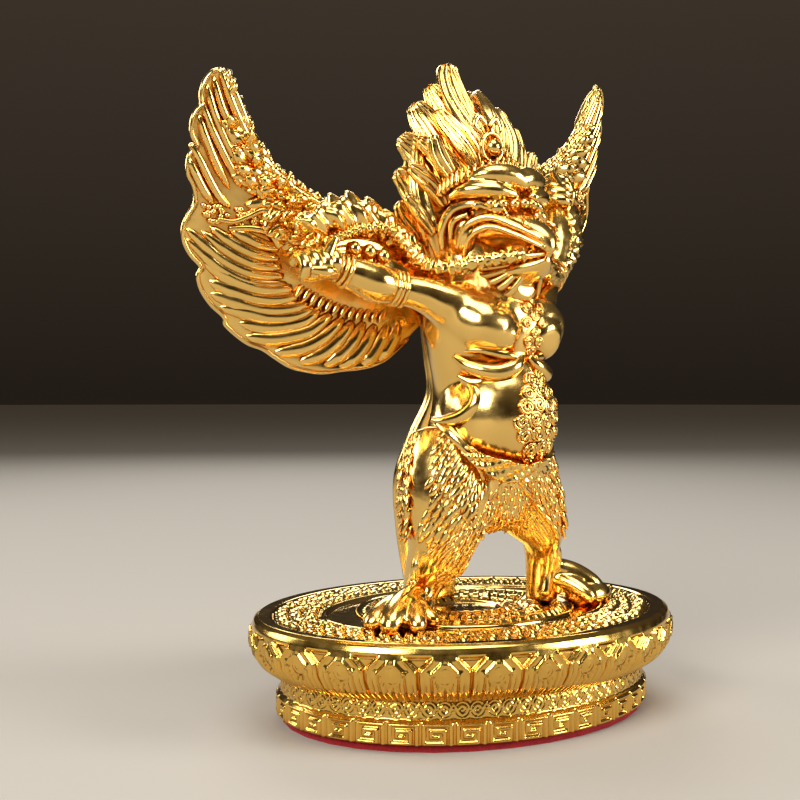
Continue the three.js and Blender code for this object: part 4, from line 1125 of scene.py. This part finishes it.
def foot(heel, ball, toes):
    """The instep and its toes. A toe leaves the ball, bends over a round knuckle and ends in a blunt claw."""
    mid = np.add(heel, ball) / 2
    shells = [limb([(*heel, 2.8, 2.2), (mid[0], mid[1], 2.2, 3.4, 2.4), (*ball, 3.6, 2.2)], (0, 0, 1), 24, 24)]
    for x, y, arch, half in toes:
        steps = ((-0.3, arch * 1.3, 0.9), (0.1, arch * 1.2, 1), (0.45, arch, 1), (0.78, arch * 0.6, 0.95),
                 (0.95, 0.9, 0.75), (1.03, 0.5, 0.4))
        dx, dy = x - ball[0], y - ball[1]
        toe = [(ball[0] + dx * share, ball[1] + dy * share, level, half * size, half * size * 0.9)
               for share, level, size in steps]
        shells.append(limb(toe, (0, 0, 1), 40, 18))
    return shells


feet = foot((-12, -1, 2), (-18.6, -6, 2), RIGHT_TOES) + foot((15.2, -2.4, 2), (16.6, -5.8, 2), LEFT_TOES)
feet.append(egg((22, -9.6, 1), (4.8, 3.8, 2.8)))
feet += [limb(stations, (0, -1, 0), 30, 18) for stations in TENDONS]
feet_mesh = fused("feet", feet, soles, voxel=0.3, rounds=3)
piece("feet", feet_mesh, figure_gold, "garuda_figure")

# %% Mane and tail
mane_shells = [limb(MANE, around=32, along=60)]
for x in (-1, -0.66, -0.33, 0, 0.33, 0.66, 1):
    strip = [(px + x * wide * 0.8, py + np.sqrt(1 - 0.7 * x * x) * deep * 0.75, pz, wide * 0.19, 1)
             for px, py, pz, wide, deep in MANE]
    mane_shells.append(leaf(strip, (x * 0.6, 1, 0), ridges=2, along=60, depth=0.8))
figure_piece("mane_and_tail", mane_shells)

# %% [markdown]
# ## The lotus base
#
# The base is a separate oval casting: a foot with two patterned bands, a cup of petals, and a deck. Each part is one
# dense grid: a profile carried round the oval. The pattern is relief, a height worked out for every point from its
# place round the oval and along the profile, as a die would have pressed it.

# %% Oval and relief functions
OVAL = np.array([40, 32.7])
fine_turn = np.linspace(0, TURN, 4001)
steps = np.hypot(np.diff(np.cos(fine_turn) * OVAL[0]), np.diff(np.sin(fine_turn) * OVAL[1]))
running = np.concatenate([[0], np.cumsum(steps)])


def even_turn(share):
    """The angle at a share of the oval's outline, so that patterns keep one width all the way round."""
    return np.interp(share, running / running[-1], fine_turn)


def carried(profile, columns, relief):
    """
    A closed body of oval rings. The profile gives (inset from the top ridge, level) at each row. Relief, a height
    in mm for (share round, row), moves points along the profile's outward normal.
    """
    profile = np.asarray(profile, float)
    share = np.arange(columns) / columns
    turn = even_turn(share)
    run = unit(np.gradient(profile, axis=0))
    height = relief(share[None], np.arange(len(profile))[:, None])
    inset = profile[:, :1] - run[:, 1:] * height
    level = profile[:, 1:] + run[:, :1] * height
    return np.stack([(OVAL[0] - inset) * np.cos(turn), (OVAL[1] - inset) * np.sin(turn), level], -1)


def bump(distance, half_width):
    """A round bead across a line: exp(-(distance / half width)^2)."""
    return np.exp(-(distance / half_width) ** 2)


def near_lines(x, y, corners):
    """Distance from points (x, y) to a line through the corners: the least over its straight runs, 9 mm at most."""
    least = np.full(np.broadcast(x, y).shape, 9.0)
    for (ax, ay), (bx, by) in zip(corners, corners[1:]):
        length = (bx - ax) ** 2 + (by - ay) ** 2
        share = np.clip(((x - ax) * (bx - ax) + (y - ay) * (by - ay)) / length, 0, 1)
        least = np.minimum(least, np.hypot(x - ax - share * (bx - ax), y - ay - share * (by - ay)))
    return least


print("the oval is", round(running[-1], 1), "mm round")


# %% Foot of the base
KEY = [(4.9, 0), (4.9, 3.3), (0.7, 3.3), (0.7, 0.4), (3.9, 0.4), (3.9, 2.3), (1.8, 2.3), (1.8, 1.4), (2.8, 1.4)]
KEYS, KEY_PITCH = 38, 5.3
KEY_BAND, EYE_BAND = (1.25, 4.75), (5.25, 8)
foot_levels = np.linspace(foot_bottom, 8.5, 46)
foot_inset = np.interp(foot_levels, [1.3, 4.7, 4.9, 5.15, 8, 8.5], [4.35, 4.35, 4.2, 4.8, 5.1, 5.0])


def foot_relief(share, row):
    """Meander keys below, as half-round ridges, and pairs of ringed eyes under a small gable above."""
    level = foot_levels[row]
    x = (share * KEYS % 1) * KEY_PITCH
    keys = 0.42 * np.sqrt(np.clip(1 - (near_lines(x, level - 1.2, KEY) / 0.34) ** 2, 0, 1))
    keys = keys * (level < KEY_BAND[1]) * (level > KEY_BAND[0])
    s = (share * KEYS % 1 - 0.5) * KEY_PITCH
    eye = np.hypot(np.abs(s) - 1.25, level - 6.6)
    eyes = 0.14 * (0.5 + 0.5 * np.cos(TURN * eye / 0.66)) * (eye < 1.32)
    roof = 0.16 * bump((level - 7.6) + 1.3 * np.abs(np.abs(s) - KEY_PITCH / 2), 0.2)
    swirl = np.maximum(eyes, roof) * (level > EYE_BAND[0]) * (level < EYE_BAND[1])
    return keys + swirl


foot_shell = carried(np.stack([foot_inset, foot_levels], -1), KEYS * 38, foot_relief)
base_piece("base_foot", foot_shell, base_gold)

# %% Petal cup of the base
PETALS, PETAL_PITCH = 28, 8.3
cup_levels = np.concatenate([np.linspace(8.2, 16.9, 42), 16.9 + 0.78 * np.sin(np.linspace(0.1, np.pi / 2, 6)),
                             [17.6, 16]])
cup_inset = np.interp(cup_levels, [8.2, 9.2, 10.4, 12, 13.6, 15.2, 16.4, 17.2, 17.7],
                      [5.2, 3.4, 1.6, 0.3, -0.3, -0.4, -0.2, 0.15, 0.9])
cup_inset[-2:] = 1.3, 2


def petal_relief(share, row):
    """
    Slanting bars on the shoulders of each petal, a sunk notch between petals, a ringed bulb under the point, and
    flutes that grow downwards. Along a shoulder, level + 1.02 * |x| stays the same.
    """
    level = cup_levels[row]
    x = (share * PETALS % 1 - 0.5) * PETAL_PITCH
    across = np.abs(x)
    shoulder = level + 1.02 * across
    bars = sum(0.45 * bump(shoulder - high, 0.28) * (across > low) * (across < far)
               for high, low, far in ((17.4, 1.8, 3.8), (15.4, 0.4, 2.3)))
    notch = -0.6 * np.clip((shoulder - 17.8) / 0.25, 0, 1) * np.clip((15.9 - level) / 0.2, 0, 1)
    ring = np.hypot(x, (level - 12.9) * 0.9)
    bulb = 0.35 * bump(ring, 0.5) + 0.16 * bump(ring - 0.95, 0.2) + 0.14 * bump(ring - 1.5, 0.2)
    ridge = np.abs(np.sin(np.pi * 8 * share * PETALS)) ** 0.6
    flutes = ridge * np.interp(level, [8.4, 8.8, 10, 12, 13.4, 14], [0.2, 0.8, 0.8, 0.6, 0.25, 0]) * (ring > 1.7)
    seam = -0.4 * bump(across - 4.15, 0.3) * (level < 13.6)
    return bars + notch + bulb + flutes + seam


cup_shell = carried(np.stack([cup_inset, cup_levels], -1), PETALS * 44, petal_relief)
base_piece("lotus_petals", cup_shell, base_gold)

# %% Deck of the base
KNOBS, KNOB_PITCH, KNOB_ROW, FIRST_ROW = 84, 2.55, 2.5, 3.7
deck_inset = np.concatenate([[2.2, 0.95], np.linspace(1.1, 3.2, 5), np.linspace(3.3, 11.6, 36),
                             np.linspace(11.7, 13, 6), [15, 19.8, 20]])
deck_level = np.concatenate([[16.4], np.interp(deck_inset[1:], [0.95, 2.9, 3.2, 3.4, 11.4, 11.7, 12.1, 12.5, 12.7,
                                                                20],
                                               [17.68, 17.7, 17.6, 17.15, 17.15, 17.3, 17.62, 17.3, 16.8, 16.8])])


def deck_relief(share, row):
    """Three staggered rows of curled cloud knobs, each a long round with a comma wound into it, no two alike."""
    inset = deck_inset[row]
    row_number = np.floor((inset - FIRST_ROW) / KNOB_ROW)
    knob = share * KNOBS + 0.5 * (row_number % 2)
    number = np.floor(knob) % KNOBS + KNOBS * row_number
    x = (knob % 1 - 0.5) * KNOB_PITCH + 0.3 * np.sin(number * 12.9)
    y = (inset - FIRST_ROW) % KNOB_ROW - KNOB_ROW / 2 + 0.25 * np.sin(number * 7.3)
    from_middle = np.hypot(x + 0.3 * y, y * 0.92)
    comma = 0.78 + 0.22 * np.cos(2 * np.arctan2(y, x) - 4 * from_middle)
    knobs = (0.9 + 0.2 * np.sin(number * 3.7)) * np.sqrt(np.clip(1 - (from_middle / 1.05) ** 2, 0, 1)) * comma
    return knobs * (inset > FIRST_ROW) * (inset < 11.2)


deck_shell = carried(np.stack([deck_inset, deck_level], -1), KNOBS * 9, deck_relief)
base_piece("deck", deck_shell, deck_gold)

# %% [markdown]
# ## The medallion
#
# The oval in the middle of the deck has rings of oblong beads, a ring of scallops between them and a flat field
# where the figure stands. It is a grid of ovals that shrink to the middle, on an oval of its own.

# %% Medallion of the deck
MEDALLION, MEDALLION_REACH = np.array([20.65, 18.15]), 19.3
medallion_ring = np.concatenate([[1, 1], np.linspace(0.995, 0.26, 56), [0.2, 0.1]])
medallion_level = np.concatenate([[15.8], np.full(len(medallion_ring) - 1, 17.1)])
MEDALLION_RINGS = [(0.35, 0.3), (13.4, 0.3)]


def medallion_relief(share, ring):
    """Raised rings, rows of oblong beads and a scalloped row, by the distance from the rim in mm."""
    inset = (1 - ring) * MEDALLION_REACH

    def cut(count):
        return np.clip(3 * (np.abs(np.sin(np.pi * share * count)) - 0.25), 0, 1)

    scallop = inset - 6.4 - 1.1 * np.abs(np.sin(np.pi * share * 14))
    beads = np.maximum.reduce([cut(54) * bump(inset - 2.7, 0.85), cut(42) * bump(scallop, 0.8),
                               cut(26) * bump(inset - 11.4, 0.85)])
    rings = sum(0.5 * bump(inset - place, half) for place, half in MEDALLION_RINGS)
    return np.maximum(0.9 * beads, rings)


medallion_share = np.arange(570) / 570
medallion_turn = even_turn(medallion_share)
lift = medallion_relief(medallion_share[None], medallion_ring[:, None])
lift[0] = 0
medallion_shell = np.stack([MEDALLION[0] * medallion_ring[:, None] * np.cos(medallion_turn),
                            MEDALLION[1] * medallion_ring[:, None] * np.sin(medallion_turn),
                            medallion_level[:, None] + lift], -1)
base_piece("medallion", medallion_shell, deck_gold)

# %% [markdown]
# ## Studio
#
# The ornament stands on pale matt paper in a dim room, so that the plating mirrors dark walls between its
# highlights. Softboxes stand high on the left, above, on the right and behind. The paper is one flat sheet that
# runs far back out of the light.

# %% Paper floor
sheet_turn = np.arange(128) * TURN / 128
sheet_radius = np.concatenate([np.linspace(0.02, 0.5, 12), np.geomspace(0.55, 6, 12)])[:, None]
sheet = np.stack([sheet_radius * np.cos(sheet_turn), sheet_radius * np.sin(sheet_turn),
                  0 * sheet_radius * sheet_turn], -1)
sheet_quads, sheet_fans = tube_faces(*sheet.shape[:2])
floor_mesh = bpy.data.meshes.new("paper_floor")
floor_mesh.from_pydata(np.vstack([sheet.reshape(-1, 3), [[0, 0, 0]]]).tolist(), [],
                       sheet_quads[:, ::-1].tolist() + sheet_fans[:128, ::-1].tolist())
floor = bpy.data.objects.new("paper_floor", floor_mesh)
bpy.context.scene.collection.objects.link(floor)
# Uncoated backdrop paper: its fibres scatter light evenly, so the eye sees one warm grey without a highlight.
paper = bpy.data.materials.new("matt_backdrop_paper")
paper.use_nodes = True
paper_shader = paper.node_tree.nodes["Principled BSDF"]
paper_shader.inputs["Base Color"].default_value = linear("#A69F94")
paper_shader.inputs["Roughness"].default_value = 0.9
floor_mesh.materials.append(paper)
print("floor radius", float(sheet_radius.max()), "m")

# %% Room and softboxes
room = bpy.data.worlds.new("dim_room")
room.use_nodes = True
room_tree = room.node_tree
room_place = add(room_tree, "ShaderNodeTexCoord")
room_height = add(room_tree, "ShaderNodeSeparateXYZ", links=[("Vector", room_place, "Generated")])
room_tone = add(room_tree, "ShaderNodeValToRGB", links=[("Fac", room_height, "Z")],
                stops=[(0.0, linear("#2E261F")), (0.3, linear("#4C4237")), (1.0, linear("#8C8273"))])
room_tree.links.new(room_tone.outputs["Color"], room_tree.nodes["Background"].inputs["Color"])
room_tree.nodes["Background"].inputs["Strength"].default_value = 0.6
bpy.context.scene.world = room
bpy.context.scene.view_settings.view_transform = "Standard"


def softbox(name, place, aim_level, size, watts):
    """A square area light aimed at a level on the figure's axis: it tilts from straight down, then turns to it."""
    light = bpy.data.lights.new(name, "AREA")
    light.size = size
    light.energy = watts
    shown = bpy.data.objects.new(name, light)
    shown.location = place
    away = np.subtract(place, (0, 0, aim_level))
    tilt = np.arctan2(np.hypot(away[0], away[1]), away[2])
    shown.rotation_euler = (tilt, 0, np.arctan2(away[1], away[0]) + np.pi / 2)
    shown.visible_camera = False
    bpy.context.scene.collection.objects.link(shown)


# place in metres, the level it is aimed at, its side in metres and its power in watts
softbox("key_softbox", (-0.62, -0.22, 0.42), 0.07, 0.34, 5.6)
softbox("top_softbox", (-0.05, -0.25, 0.75), 0.05, 0.5, 3.6)
softbox("right_softbox", (0.42, -0.6, 0.26), 0.07, 0.32, 4.8)
softbox("back_softbox", (0.35, 0.55, 0.5), 0.07, 0.4, 2.6)
softbox("low_left_softbox", (-0.3, 0.5, 0.25), 0.07, 0.25, 1.2)
print("softboxes:", sum(light.type == "AREA" for light in bpy.data.lights))
